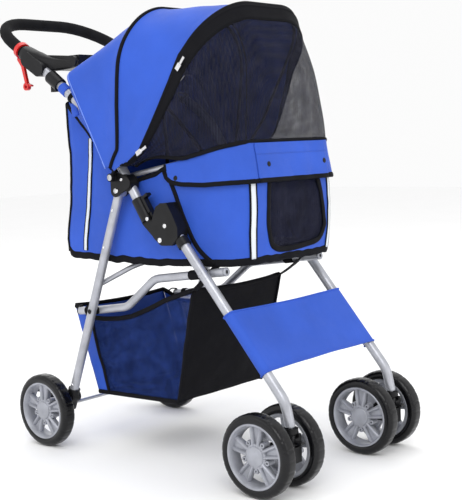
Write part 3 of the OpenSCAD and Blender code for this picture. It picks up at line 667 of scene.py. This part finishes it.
def make_cabin_trim():
    foot = round_the_cabin(lambda x: foot_height(x) + 2)
    wall_strip("hem_foot", foot, 15, binding, -1.0, 5.0, 12, count=260, wave=3.2)
    wall_strip("hem_rim", round_the_cabin(rim_height), 9, binding, -0.6, 7.0, 12, count=260, wave=0.8)
    for name, sign in (("right", 1), ("left", -1)):
        back = sign * (HALF_LOOP - RUNS[4] - RUNS[3] / 2)
        corner = [(back, z) for z in (404, 440, 500, 560, 620, 680, 703)]
        wall_strip(f"binding_rear_{name}", corner, 10, binding, 0.2, 6.5, 12, count=60, wave=1.0)
        diagonal = [(330, 566), (352, 520), (372, 478), (392, 440), (412, 415), (440, 396)]
        diagonal = [(d_at(x, sign), z) for x, z in diagonal]
        wall_strip(f"binding_side_{name}", diagonal, 10, binding, 0.6, 4.0, 12, count=60)
        tape = [(d_at(x, sign), z) for x, z in ((122, 632), (116, 560), (110, 490), (104, 408))]
        wall_strip(f"tape_border_side_{name}", tape, 13.5, binding, 0.3, 1.0)
        wall_strip(f"tape_side_{name}", tape, 7, reflective, 1.0, 1.0)
        front = [(sign * d, z) for d, z in ((112, 553), (113, 500), (114, 450), (112, 405))]
        wall_strip(f"tape_border_front_{name}", front, 17, binding, 0.3, 1.0)
        wall_strip(f"tape_front_{name}", front, 9.5, reflective, 1.0, 1.0)
    outline = [(-y, z) for y, z in WINDOW]
    wall_strip("window_binding", outline, 11, binding, 0.8, 3.6, 12, closed=True, count=150)


make_cabin_trim()


def window_place(u, v):
    """Distance round the wall and height within the patch of wall that holds the window."""
    return mix(-104, 84, u), mix(410, 558, v)


window = cloth("window_screen", lambda u, v: cabin_point(*window_place(u, v), -2.2), 40, 32, window_net, 0.5,
               keep=lambda u, v: inside_window(*window_place(u, v)))
on_fold(window)


def cabin_base(u, v):
    """Base cloth: it closes the cabin under the board and sags a little between the link bars."""
    d = mix(0, HALF_LOOP, u)
    x, y, _, _ = plan(d)
    y = abs(y) * mix(-1, 1, v)
    sag = 3.0 * math.sin(math.pi * v) * math.sin(math.pi * u)
    z = foot_height(x) - sag + crease((x, y, 0), 60, 2.5) * math.sin(math.pi * v)
    return place(x, y, z)


base = cloth("cabin_base", cabin_base, 110, 24, black_cloth, 1.0)
on_fold(base)


# ---------- collar over the cabin's rim ----------
COLLAR_SIDE_X = 332
FLAP_HALF = 104


def collar_foot(d):
    """Lower edge of the collar: it rises along the side and rounds up to its rear end."""
    x = plan(d)[0]
    return along([(332, 566), (338, 552), (350, 545), (375, 542), (430, 541), (507, 546)], x)


def collar_point(d, v, tuck=0.0):
    x = plan(d)[0]
    z = mix(collar_foot(d), rim_height(x) + mix(4, 9, ease((x - 340) / 120)), v)
    flare = 4.6 + 3.0 * (1 - v) ** 2 + 1.6 * noise.noise(Vector((d / 60, v * 1.5, 7)))
    under = tuck * (1 - ease((abs(d) - FLAP_HALF + 2) / 8))
    return cabin_point(d, z, flare - under)


def collar_normal(d, v):
    a = collar_point(d + 2, v) - collar_point(d - 2, v)
    b = collar_point(d, min(v + 0.05, 1)) - collar_point(d, v - 0.05)
    return outward(np.cross(a, b), d)


def collar_edge(name, start, end, tuck=0.0, body="link_frame"):
    """Binding along the collar's lower edge."""
    ds = [mix(start, end, t) for t in steps(40)]
    edge = sweep(name, [collar_point(d, 0, tuck) for d in ds], oval(10, 4, 12), binding,
                 normals=[collar_normal(d, 0.06) for d in ds])
    on_fold(edge, body=body)


side_start = d_at(COLLAR_SIDE_X, 1)
for name, sign in (("right", 1), ("left", -1)):
    def side_collar(u, v, sign=sign):
        return collar_point(sign * mix(FLAP_HALF - 7, side_start, u), v, 2.2)
    piece = cloth(f"collar_{name}", side_collar, 70, 12, blue, 1.3)
    on_fold(piece)
    collar_edge(f"collar_edge_{name}", sign * (FLAP_HALF - 6), sign * side_start, 2.2)
    end = [collar_point(sign * side_start, t) for t in steps(8)]
    on_fold(sweep(f"collar_end_{name}", end, oval(9, 4, 12), binding,
                  normals=[collar_normal(sign * side_start, 0.5)] * 9))

# The flap swings below its hinge line. The strip above the line stays on the cabin.
HINGE_V = 0.69


def flap_point(u, v):
    return collar_point(mix(-FLAP_HALF, FLAP_HALF, u), v)


front_strip = cloth("collar_front", lambda u, v: flap_point(u, mix(HINGE_V, 1, v)), 60, 6, blue, 1.3)
on_fold(front_strip)
flap = cloth("window_flap", lambda u, v: flap_point(u, v * HINGE_V), 60, 12, blue, 1.3)
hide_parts("front_flap")
on_fold(flap, body="front_flap")
collar_edge("window_flap_edge", -FLAP_HALF, FLAP_HALF, body="front_flap")


def snap(name, d, v, body):
    """Domed snap button with a ring, on the collar."""
    dome = [(0, 2.6), (2.2, 2.4), (3.2, 1.4), (4.2, 2.0), (5.2, 1.2), (5.2, -0.4), (0, -0.4)]
    points, faces = turned_disc(dome, collar_point(d, v), collar_normal(d, v), 24)
    on_fold(add_object(name, points, faces, plastic), body=body)


snap("snap_right", 74, 0.42, "front_flap")
snap("snap_left", -95, 0.42, "front_flap")
snap("snap_corner", side_start - 26, 0.22, "link_frame")
snap("snap_corner_left", 26 - side_start, 0.22, "link_frame")


# ---------- canopy ----------
BOW_Y = 188.4
KNEE = 140.0                            # reach where a bow starts to lean inward
hub_place = place(HUB[0], 0, HUB[1])
# Bows and sewn edges as (angle, reach, half width at the foot, half width at the top, corner radius)
MID_BOW = (80.5, 317.0, BOW_Y, 180.2, 112.0)
FRONT_BOW = (52.0, 388.0, BOW_Y, 137.0, 112.0)
REAR_EDGE = (118.5, 236.0, BOW_Y - 1, 186.0, 22.0)
RIM_EDGE = (11.0, 292.0, 151.0, 150.0, 46.0)
# How far each sewn line runs ahead of its bow low on the sides, as (reach, distance)
AHEAD = {FRONT_BOW: [(20, 12), (96, 38), (140, 35), (185, 23), (228, 13), (271, 0)],
         MID_BOW: [(20, 10), (59, 19), (112, 13), (149, 9), (185, 5), (250, 0)],
         REAR_EDGE: [(0, 0)], RIM_EDGE: [(0, 0)]}


def arch(bow, base, s):
    """Point (reach, y) of a bow or edge, s from 0 on the right side to 1 on the left."""
    _, reach, y, top, corner = bow
    lean = math.atan2(y - top, reach - KNEE)
    centre_y = top - corner * (1 - math.sin(lean)) / math.cos(lean)
    turn_x = reach - corner + corner * math.sin(lean)
    turn_y = centre_y + corner * math.cos(lean)
    straight, slope = KNEE - base, math.hypot(turn_x - KNEE, y - turn_y)
    bend = corner * (math.pi / 2 - lean)
    d = (1 - abs(s - 0.5) * 2) * (straight + slope + bend + centre_y)
    sign = -1 if s < 0.5 else 1
    if d < straight:
        return base + d, sign * y
    d -= straight
    if d < slope:
        return mix(KNEE, turn_x, d / slope), sign * mix(y, turn_y, d / slope)
    d -= slope
    if d < bend:
        t = lean + d / corner
        return reach - corner + corner * math.sin(t), sign * (centre_y + corner * math.cos(t))
    return reach, sign * (centre_y - (d - bend))


def seam_angle(bow, reach):
    """Angle of the sewn line: the sheet is pulled forward round its bow low on the sides."""
    return bow[0] - math.degrees(along(AHEAD[bow], reach) / max(reach, 60))


def shell(a, b, base, s, t, sag, lift=0.0, hitch=0.0):
    """Point of a sheet stretched from arch a at t 0 to arch b at t 1. Between them it draws in by
    sag. Near the hub, edge b is hitched up by an angle."""
    ra, pa = arch(a, base, s)
    rb, pb = arch(b, base, s)
    reach, y = mix(ra, rb, t), mix(pa, pb, t)
    to = seam_angle(b, rb) + hitch * (1 - ease((rb - base) / 130))
    angle = math.radians(mix(seam_angle(a, ra), to, t))
    draw = 4 * t * (1 - t)
    far = ease((reach - base) / 120)
    top = ease((reach - 140) / 120)
    reach -= draw * sag * top
    y *= 1 - draw * sag * 0.35 * far / 190
    w = crease((reach * math.cos(angle), y, reach * math.sin(angle) * 0.6), 58, 2.4 * draw) * far
    over_bow = sum(3.0 * math.exp(-((math.degrees(angle) - bow[0]) * math.radians(reach) / 13) ** 2)
                   for bow in (MID_BOW, FRONT_BOW)) * far
    out = lift + w + over_bow
    over = ease((reach - 200) / 90)
    reach += out * over
    y += math.copysign(out * (1 - over), y) if abs(y) > 1 else 0
    return place(HUB[0] + reach * math.cos(angle), y, HUB[1] + reach * math.sin(angle))


def rear_shell(s, t, lift=0.0):
    return shell(REAR_EDGE, MID_BOW, 20, s, t, 9, lift)


def front_shell(s, t, lift=0.0):
    return shell(MID_BOW, FRONT_BOW, 20, s, t, 10, lift)


def screen_shell(s, t, lift=0.0):
    return shell(FRONT_BOW, RIM_EDGE, 42, s, t, 6, lift, 17)


def shell_normal(surface, s, t):
    e = 0.006
    s0, s1, t0, t1 = max(0, s - e), min(1, s + e), max(0, t - e), min(1, t + e)
    n = unit(np.cross(surface(s1, t) - surface(s0, t), surface(s, t1) - surface(s, t0)))
    return n if n @ (surface(s, t) - hub_place) > 0 else -n


def sewn_line(name, surface, t, lift, section, material=binding, facing=0.05):
    """Piping from side to side over a sheet, t(s) down it and standing out by lift. It faces as the
    sheet does, facing down it."""
    s_line = np.linspace(0, 1, 161)
    return sweep(name, [surface(s, t(s), lift) for s in s_line], section, material,
                 normals=[shell_normal(surface, s, facing) for s in s_line])


def make_canopy():
    rear = cloth("canopy_rear_cloth", rear_shell, 110, 26, blue, 1.3)
    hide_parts("canopy_rear")
    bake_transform(rear)
    front = cloth("canopy_front_cloth", front_shell, 120, 34, blue, 1.3)
    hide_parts("canopy_front")
    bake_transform(front)
    fitting(sewn_line("piping_mid_bow", front_shell, lambda s: 0.004, 2.2, oval(7.5, 6.5, 12), facing=0.004),
            "mid_bow")
    fitting(sewn_line("seam_rear_edge", rear_shell, lambda s: 0.006, 0.7, oval(3.4, 2.6, 8), pale_edge, 0.02),
            "handle_frame")


make_canopy()


def border_t(s, width=25.0):
    """How far down the screen the black border reaches: a constant width, narrowing towards the hub."""
    reach, _ = arch(FRONT_BOW, 42, s)
    span = reach * math.radians(FRONT_BOW[0] - RIM_EDGE[0])
    wide = min(width, 0.62 * span) * mix(0.62, 1.0, ease((reach - 90) / 260))
    return wide / max(span, 1)


def make_screen():
    net = cloth("screen_net", lambda s, t: screen_shell(s, mix(border_t(s) * 0.9, 1, t)), 120, 36, screen_net,
                0.5)
    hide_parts("mesh_screen")
    border = cloth("screen_border", lambda s, t: screen_shell(s, mix(-0.015, border_t(s), t), 1.0), 150, 10,
                   binding, 2.0)
    zip_line = sewn_line("screen_zip", screen_shell, lambda s: 0.015, 2.6, oval(5, 3.4, 10))
    hem = sewn_line("screen_hem", screen_shell, lambda s: 0.985, 0.6, oval(8, 5, 10), facing=0.95)
    inner = sewn_line("screen_border_edge", screen_shell, border_t, 0.8, oval(5, 3.6, 10), facing=0.3)
    for piece in (net, border, zip_line, hem, inner):
        on_fold(piece,
                body="handle_frame")


make_screen()


def rear_panel(u, v):
    """Cloth that closes the back, from the cabin's rear rim up to the canopy's rear edge."""
    s = mix(0.30, 0.70, u)
    top = rear_shell(s, 0.0, -1.5)
    low = place(56, mix(-CABIN_HALF + 8, CABIN_HALF - 8, u), 700)
    p = top * v + low * (1 - v)
    p[0] -= 5 * MM * math.sin(math.pi * v)
    return p


back = cloth("rear_panel", rear_panel, 60, 14, blue)
on_fold(back, body="handle_frame")


def make_gussets():
    """Cloth on each side between the cabin's sloping rim and the canopy's rear edge."""
    for name, side, s_far in (("right", 1, 0.30), ("left", -1, 0.70)):
        def gusset(u, v, side=side, s_far=s_far):
            s = mix(0.02 if side > 0 else 0.98, s_far, u)
            top = rear_shell(s, 0.0, -2.0)
            x = mix(205, 58, u)
            low = cabin_point(d_at(x, side), rim_height(x) - 3, -2.5)
            p = low + (top - low) * v
            p[1] -= math.copysign(3 * MM * math.sin(math.pi * v) * u, p[1])
            return p
        piece = cloth(f"gusset_{name}", gusset, 50, 16, blue)
        on_fold(piece, body="handle_frame")


make_gussets()


# ---------- basket ----------
BASKET_TOP_HALF, BASKET_FOOT_HALF = 131.0, 128.0
# The basket's corners seen from the side, as (x, z)
FLOOR_BACK, FLOOR_FRONT = np.array([96, 114]), np.array([321, 120])
TOP_BACK, TOP_FRONT = np.array([40, 290]), np.array([374, 342])


def basket_half(z):
    """Half width of the basket: it hangs narrower at its floor."""
    return mix(BASKET_FOOT_HALF, BASKET_TOP_HALF, ease((z - 118) / 170))


def basket_edge(x):
    """Droop of the basket's top edge between its ties."""
    return along([(38, 290), (62, 282), (84, 268), (126, 268), (170, 272), (208, 280), (260, 300),
                  (300, 318), (372, 342)], x)


def slanted(low, high, z):
    """x at height z on the line between two corners."""
    return mix(low[0], high[0], (z - low[1]) / (high[1] - low[1]))


def side_panel(u, v, side, x0=0.0, x1=1.0, lift=0.0):
    """Side of the basket. u runs from the back to the front, v from the floor to the top edge."""
    k = mix(x0, x1, u)
    low = mix(FLOOR_BACK, FLOOR_FRONT, k)
    top_x = mix(TOP_BACK[0], TOP_FRONT[0], k)
    top = np.array([top_x, basket_edge(top_x)])
    x, z = low + (top - low) * v
    bulge = 4.0 * math.sin(math.pi * v) * math.sin(math.pi * k)
    bulge += crease((x, side * 40, z), 34, 3.2) * math.sin(math.pi * v)
    return place(x, side * (basket_half(z) + bulge + lift), z)


WRAP_SHARE = 0.14                       # part of each side that is plain cloth, at its back


def basket_rear(u, v):
    y = mix(-1, 1, u)
    z = mix(FLOOR_BACK[1], TOP_BACK[1] - 5 * (1 - y * y), v)
    bow = 5.0 * math.sin(math.pi * v) * (1 - y * y)
    return place(slanted(FLOOR_BACK, TOP_BACK, z) - bow, y * basket_half(z), z)


def basket_face(u, v):
    y = mix(-1, 1, u)
    z = mix(FLOOR_FRONT[1], TOP_FRONT[1] - 6 * (1 - y * y), v)
    bow = 7.0 * math.sin(math.pi * v) * (1 - y * y) + crease((y * 120, z, 5), 48, 3.0) * (1 - y * y)
    return place(slanted(FLOOR_FRONT, TOP_FRONT, z) + bow, y * basket_half(z), z)


def basket_floor(u, v):
    x, y = mix(FLOOR_BACK[0], FLOOR_FRONT[0], u), mix(-1, 1, v)
    sag = 4.0 * math.sin(math.pi * u) * (1 - y * y)
    z = mix(FLOOR_BACK[1], FLOOR_FRONT[1], u) - sag + crease((x, y * 100, 0), 40, 1.6) * (1 - y * y)
    return place(x, y * basket_half(FLOOR_BACK[1]), z)


def basket_piece(piece, slot, flat=None, held="fold_light_place", **facts):
    on_fold(piece)
    return piece


def basket_hem(name, path, width, normal):
    hem = sweep(name, path, oval(4.5, width, 10), binding, normals=[normal] * len(path))
    basket_piece(hem, "black_plastic")


def make_basket():
    rear = cloth("basket_rear", basket_rear, 40, 26, blue)
    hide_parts("basket")
    basket_piece(rear, "blue_fabric", (0.25, 0.185))
    face = cloth("basket_front", basket_face, 44, 30, black_cloth, 1.3)
    basket_piece(face, "black_plastic", (0.25, 0.225))
    floor = cloth("basket_floor", basket_floor, 34, 26, black_cloth, 1.3)
    basket_piece(floor, "black_plastic", (0.256, 0.225))
    for name, side in (("right", -1), ("left", 1)):
        make_basket_side(name, side)
    for name, surface in (("rear", basket_rear), ("face", basket_face)):
        basket_hem(f"basket_{name}_hem", [surface(t, 1) for t in steps(40)], 9, (0, 0, 1))


def make_basket_side(name, side):
    wrap = cloth(f"basket_wrap_{name}", lambda u, v: side_panel(u, v, side, 0, WRAP_SHARE, 0.4), 8, 26, blue)
    basket_piece(wrap, "blue_fabric", (0.045, 0.17))
    net = cloth(f"basket_net_{name}", lambda u, v: side_panel(u, v, side, WRAP_SHARE, 1), 46, 30, basket_net,
                0.6)
    basket_piece(net, "basket_mesh", (0.265, 0.176))
    level, upright = (0, 0, 1), (1, 0, 0)
    for part, path, width, normal in (
            ("top", [side_panel(t, 1, side, lift=0.5) for t in steps(40)], 10, level),
            ("seam", [side_panel(WRAP_SHARE, t, side, lift=1.0) for t in steps(16)], 8, upright),
            ("front", [side_panel(1, t, side, lift=0.6) for t in steps(16)], 8, upright),
            ("foot", [side_panel(t, 0, side, lift=0.4) for t in steps(30)], 9, level)):
        basket_hem(f"basket_{part}_hem_{name}", path, width, normal)
    # Straps from the top corners: up to the link bar behind, to the cabin's floor in front
    for part, width, points in (
            ("rear", 8, [(52, 131, 284), (62, 136, 292), (72, 143, 291)]),
            ("front", 22, [(372, 131, 340), (392, 134, 352), (424, 139, 376), (440, 139, 391)])):
        path = spline([place(x, side * y, z) for x, y, z in points], 16)
        strap = sweep(f"basket_strap_{part}_{name}", path, oval(width, 3, 12), binding)
        basket_piece(strap, "black_plastic")


make_basket()


# ---------- footrest ----------
LEG_FOOT, LEG_TOP = np.array([608.0, 164.0]), np.array([376.0, 441.0])
LEG_Y = 162.0
CLOTH_REACH = 11.2                      # from the middle of a leg to the cloth round it
TURN_SHARE = 0.13                       # part of the cloth's width that wraps round each leg


def footrest_point(u, v):
    """Cloth stretched between the front legs: it wraps round each leg and dips a little in the
    middle."""
    run = LEG_TOP - LEG_FOOT
    p = LEG_FOOT + run * mix(0.165, 0.525, v)
    d = unit(run)
    n = np.array([d[1], -d[0]])
    if u < TURN_SHARE or u > 1 - TURN_SHARE:
        k = (TURN_SHARE - u if u < TURN_SHARE else u - 1 + TURN_SHARE) / TURN_SHARE
        a = math.radians(mix(0, 205, k))
        y = LEG_Y + CLOTH_REACH * math.sin(a)
        out = CLOTH_REACH * math.cos(a)
        sign = -1 if u < 0.5 else 1
    else:
        k = (u - TURN_SHARE) / (1 - 2 * TURN_SHARE)
        y, sign = mix(-LEG_Y, LEG_Y, k), 1
        dip = 5.0 * math.sin(math.pi * k) * math.sin(math.pi * v) ** 0.5
        edge = 2.5 * math.sin(math.pi * k)
        p = p + d * (edge if v < 0.06 else -edge if v > 0.94 else 0)
        out = CLOTH_REACH - dip + crease((y, v * 160, 9), 70, 2.2) * math.sin(math.pi * k)
    p = p + n * out
    return place(p[0], sign * y, p[1])


footrest = cloth("footrest_cloth", footrest_point, 90, 34, blue, 1.4)
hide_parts("footrest")
fitting(footrest, "front_frame")
for name, v in (("low", 0.012), ("high", 0.988)):
    hem = sweep(f"footrest_hem_{name}", [footrest_point(t, v) for t in steps(90)], oval(4.2, 3.0, 8), blue)
    fitting(hem, "front_frame")


# ---------- mat ----------
def make_mat():
    """Quilted mat in the cabin: a pad swollen by cloth pressure, with sewn channels pressed in after."""
    low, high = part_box("cabin_mat")
    size, centre = high - low, (low + high) / 2
    inner = (size.x - 14 * MM, size.y - 14 * MM, size.z - 7 * MM)
    mat = round_block("cabin_pad", inner, centre, grey_quilt, 5 * MM)
    remesh = mat.modifiers.new("remesh", "REMESH")
    remesh.mode, remesh.voxel_size = "VOXEL", 6 * MM
    bake(mat)
    rest = np.array([v.co for v in mat.data.vertices])
    swell(mat, rest, 5 * MM)
    points = np.array([v.co for v in mat.data.vertices])
    for k, p in enumerate(points):
        groove = max(math.exp(-((p[0] - low.x - size.x * f) / (4 * MM)) ** 2) for f in (0.25, 0.5, 0.75))
        if p[2] > centre.z:
            points[k][2] -= 4.0 * MM * groove
        points[k][2] = max(points[k][2], low.z + 0.3 * MM)
    mat.data.vertices.foreach_set("co", points.ravel())
    mat.data.polygons.foreach_set("use_smooth", [True] * len(mat.data.polygons))
    smoother = mat.modifiers.new("smooth", "SUBSURF")
    smoother.levels = smoother.render_levels = 1
    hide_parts("cabin_mat")
    fitting(mat, "link_frame")


def bake(obj):
    """Turns the object's modifiers into its mesh."""
    graph = bpy.context.evaluated_depsgraph_get()
    mesh = bpy.data.meshes.new_from_object(obj.evaluated_get(graph))
    obj.modifiers.clear()
    obj.data = mesh


def swell(obj, rest, most):
    """Inflates a closed pad by cloth pressure, with no point moving further than most."""
    sim = obj.modifiers.new("swell", "CLOTH")
    sim.settings.use_pressure = True
    sim.settings.uniform_pressure_force = 4
    sim.settings.effector_weights.gravity = 0
    scene = bpy.context.scene
    for f in range(1, 21):
        scene.frame_set(f)
    bake(obj)
    scene.frame_set(1)
    points = np.array([v.co for v in obj.data.vertices])
    move = points - rest
    far = np.linalg.norm(move, axis=1, keepdims=True)
    points = rest + move * np.minimum(1, most / np.maximum(far, 1e-9))
    obj.data.vertices.foreach_set("co", points.ravel())


make_mat()


# ---------- small fittings ----------
def ring_on_tube(name, centre, direction, radius, length, material, body):
    """Sleeve of cloth or plastic round a tube, its radius and length in millimetres."""
    d = unit(np.array(direction, float))
    path = [centre + d * (length * MM) * (t - 0.5) for t in steps(6)]
    piece = sweep(name, path, oval(2 * radius, 2 * radius, 20), material)
    edge = piece.modifiers.new("edge", "BEVEL")
    edge.width, edge.segments = 0.8 * MM, 2
    return fitting(piece, body)


def rivet(name, centre, side, body, radius):
    head = [(0, 1.9), (radius * 0.5, 1.6), (radius * 0.85, 0.9), (radius, 0), (radius, -1.2), (0, -1.2)]
    points, faces = disc(head, centre, side, 20)
    fitting(add_object(name, points, faces, chrome), body)


def make_tray_rim(name, side):
    """Each ring of the rim is an oval. The rings run from a sleeve round the tube to the tray's thin
    front corner."""
    # Stations of the rim as (x, y, z, half width, half height)
    stations = [(-46, 155, 811, 16.5, 15.5), (-34, 156, 805, 17.5, 17.5), (-16, 156, 796, 17, 18.5),
                (6, 153, 788, 13, 16.5), (32, 150, 783, 9, 13.5), (60, 148, 780.5, 7, 11),
                (86, 146, 780, 5.5, 8.5), (101, 142, 781, 3.5, 5)]
    rings, sides = 40, 28
    line = spline([s[:3] for s in stations], rings)
    spread = np.linspace(0, len(stations) - 1, rings)
    wides, talls = (np.interp(spread, range(len(stations)), [s[i] for s in stations]) for i in (3, 4))
    points = []
    for (x, y, z), k, wide, tall in zip(line, spread, wides, talls):
        tilt = math.radians(mix(58, 90, ease(k / 4)))
        for a in turns(sides):
            c, t = (math.copysign(abs(w) ** 0.75, w) for w in (math.cos(a), math.sin(a)))
            up = t * tall
            points.append(place(x + up * math.cos(tilt), side * (y + c * wide), z + up * math.sin(tilt)))
    faces = ring_faces(rings, sides) + end_faces(rings, sides)
    piece = add_object(f"tray_rim_{name}", points, faces, plastic)
    crisp(piece, TRAY_EDGE)
    fitting(piece, "handle_frame")


TUBE_Y = 162.0                          # middle of a side tube
LINK_BAR_Y = 143.6
TUBE_LOW, TUBE_KNEE = np.array([291.0, 478.0]), np.array([171.0, 663.0])
TUBE_TOP = np.array([25.0, 766.0])


def make_link_fittings(name, side):
    # Cloth sleeves that keep the link bars against the front and rear legs
    for part, x, z, direction, length in (("front", 392, 373.7, (180, 0, 23), 24),
                                          ("rear", 96, 285, (57, 0, 6), 12)):
        ring_on_tube(f"link_sleeve_{part}_{name}", place(x, side * LINK_BAR_Y, z), direction, 9.4, length,
                     binding, "link_frame")
    # End plugs with a dimple, on the front ends of the link bars
    plug = [(0, 1.0), (3.0, 1.0), (3.6, 3.2), (7.2, 3.4), (8.2, 2.4), (8.2, -1.0), (0, -1.0)]
    points, faces = turned_disc(plug, place(466.5, side * LINK_BAR_Y, 383), (180, 0, 23), 28)
    fitting(add_object(f"link_plug_{name}", points, faces, rim_paint), "link_frame")


def make_rivets(name, side):
    """Rivets through the rear legs, pins of the folding lock and the hub bracket, rivets on the tube."""
    for part, x, z, y, body, radius in (
            ("leg_low", 62, 131, 171.0, "rear_frame", 3.2), ("leg_mid", 176, 419, 171.0, "rear_frame", 3.2),
            ("leg_high", 205, 492, 171.0, "rear_frame", 3.2),
            ("lock_top", 303, 478, 175.0, "handle_frame", 4.2),
            ("lock_front", 349, 466, 176.6, "front_frame", 4.6),
            ("lock_pivot", 335, 439, 176.6, "front_frame", 5.2),
            ("bracket_low", 224, 530, 175.2, "handle_frame", 4.4),
            ("bracket_high", 238, 552, 175.0, "handle_frame", 3.6)):
        rivet(f"rivet_{part}_{name}", place(x, side * y, z), side, body, radius)
    for part, t in (("tube_low", 0.38), ("tube_high", 0.72)):
        x, z = mix(TUBE_LOW, TUBE_KNEE, t)
        rivet(f"rivet_{part}_{name}", place(x, side * (TUBE_Y + 9.3), z), side, "handle_frame", 3.0)


def make_ties(name, side):
    """Cloth tabs that tie the canopy's rear corners to the side tubes, and the rim's elastic."""
    dx, dz = TUBE_KNEE - TUBE_TOP
    for part, t, radius, length, material, slot in (
            ("band", 0.36, 11.2, 20, blue, "blue_fabric"),
            ("buckle", 0.52, 12.0, 9, binding, "black_plastic")):
        x, z = mix(TUBE_TOP, TUBE_KNEE, t)
        ring_on_tube(f"tie_{part}_{name}", place(x, side * TUBE_Y, z), (dx, 0, dz), radius, length, material,
                     "handle_frame")
    tab = [(100, 150, 722), (104, 162, 706), (112, 171, 690), (124, 178, 676)]
    tab = spline([place(x, side * y, z) for x, y, z in tab], 20)
    fitting(sweep(f"tie_tab_{name}", tab, oval(14, 2.6, 10), blue), "handle_frame")
    # Elastic that holds the cabin's rim to the front bar's hub
    cord = [(236, 146, 551), (243, 148.5, 538), (246, 148.5, 522), (252, 148.5, 512)]
    cord = spline([place(x, side * y, z) for x, y, z in cord], 24)
    fitting(sweep(f"rim_elastic_{name}", cord, oval(3, 3, 8), binding), "handle_frame")


def make_fittings():
    for name, side in (("right", -1), ("left", 1)):
        make_link_fittings(name, side)
        make_rivets(name, side)
        make_ties(name, side)
        make_tray_rim(name, side)


make_fittings()


# ---------- stage ----------
def stage_paint():
    m, tree, shader = node_tree("floor_paint", (0.97, 0.97, 0.97), 0.9)
    vary(tree, shader, speckle(tree, 3), (0.97, 0.97, 0.97), 0.99, 1.0)
    bumps(tree, shader, [(speckle(tree, 300, 2), 0.00005, 0.1)])
    return m


def studio():
    corners = [(-9, -9, 0), (9, -9, 0), (9, 9, 0), (-9, 9, 0)]
    floor = add_object("floor", corners, [(0, 1, 2, 3)], stage_paint())
    for name, where, aim, size, power in (
            ("key", (2.4, -2.6, 3.4), (0, 0, 0.45), 2.4, 62),
            ("fill", (-1.2, -3.4, 1.7), (0, 0, 0.5), 2.6, 14),
            ("front", (3.6, 0.9, 1.5), (0, 0, 0.45), 2.2, 14),
            ("top", (-0.6, 0.6, 3.6), (0, 0, 0.4), 3.0, 30),
            ("back", (-3.2, 2.2, 1.8), (0, 0, 0.5), 2.4, 14)):
        light = bpy.data.lights.new(name, "AREA")
        light.size, light.energy = size, power
        lamp = bpy.data.objects.new(name, light)
        bpy.context.scene.collection.objects.link(lamp)
        lamp.location = where
        lamp.rotation_mode = "QUATERNION"
        lamp.rotation_quaternion = (Vector(aim) - Vector(where)).to_track_quat("-Z", "Y")
    world = bpy.data.worlds.new("studio")
    bpy.context.scene.world = world
    world.use_nodes = True
    world.node_tree.nodes["Background"].inputs["Color"].default_value = (1, 1, 1, 1)
    world.node_tree.nodes["Background"].inputs["Strength"].default_value = 0.97
    bpy.context.scene.view_settings.view_transform = "Standard"


studio()


def aim_camera():
    """Camera at the level of the handle, ahead of the stroller and to its right."""
    yaw, pitch, roll = math.radians(40.82), math.radians(6.75), math.radians(-2.05)
    view = Vector((-math.sin(yaw) * math.cos(pitch), math.cos(yaw) * math.cos(pitch), -math.sin(pitch)))
    level = Vector((math.cos(yaw), math.sin(yaw), 0))
    up = level.cross(view)
    x_axis = level * math.cos(roll) + up * math.sin(roll)
    y_axis = up * math.cos(roll) - level * math.sin(roll)
    camera = bpy.data.cameras.new("camera")
    camera.lens, camera.sensor_width = 79.14, 36
    camera.shift_x, camera.shift_y = 0.008, 0.0347
    camera.clip_end = 100
    holder = bpy.data.objects.new("camera", camera)
    bpy.context.scene.collection.objects.link(holder)
    turn = Matrix((x_axis, y_axis, -view)).transposed().to_4x4()
    holder.matrix_world = Matrix.Translation((1.5233, -1.6343, 0.6247)) @ turn
    bpy.context.scene.camera = holder


aim_camera()
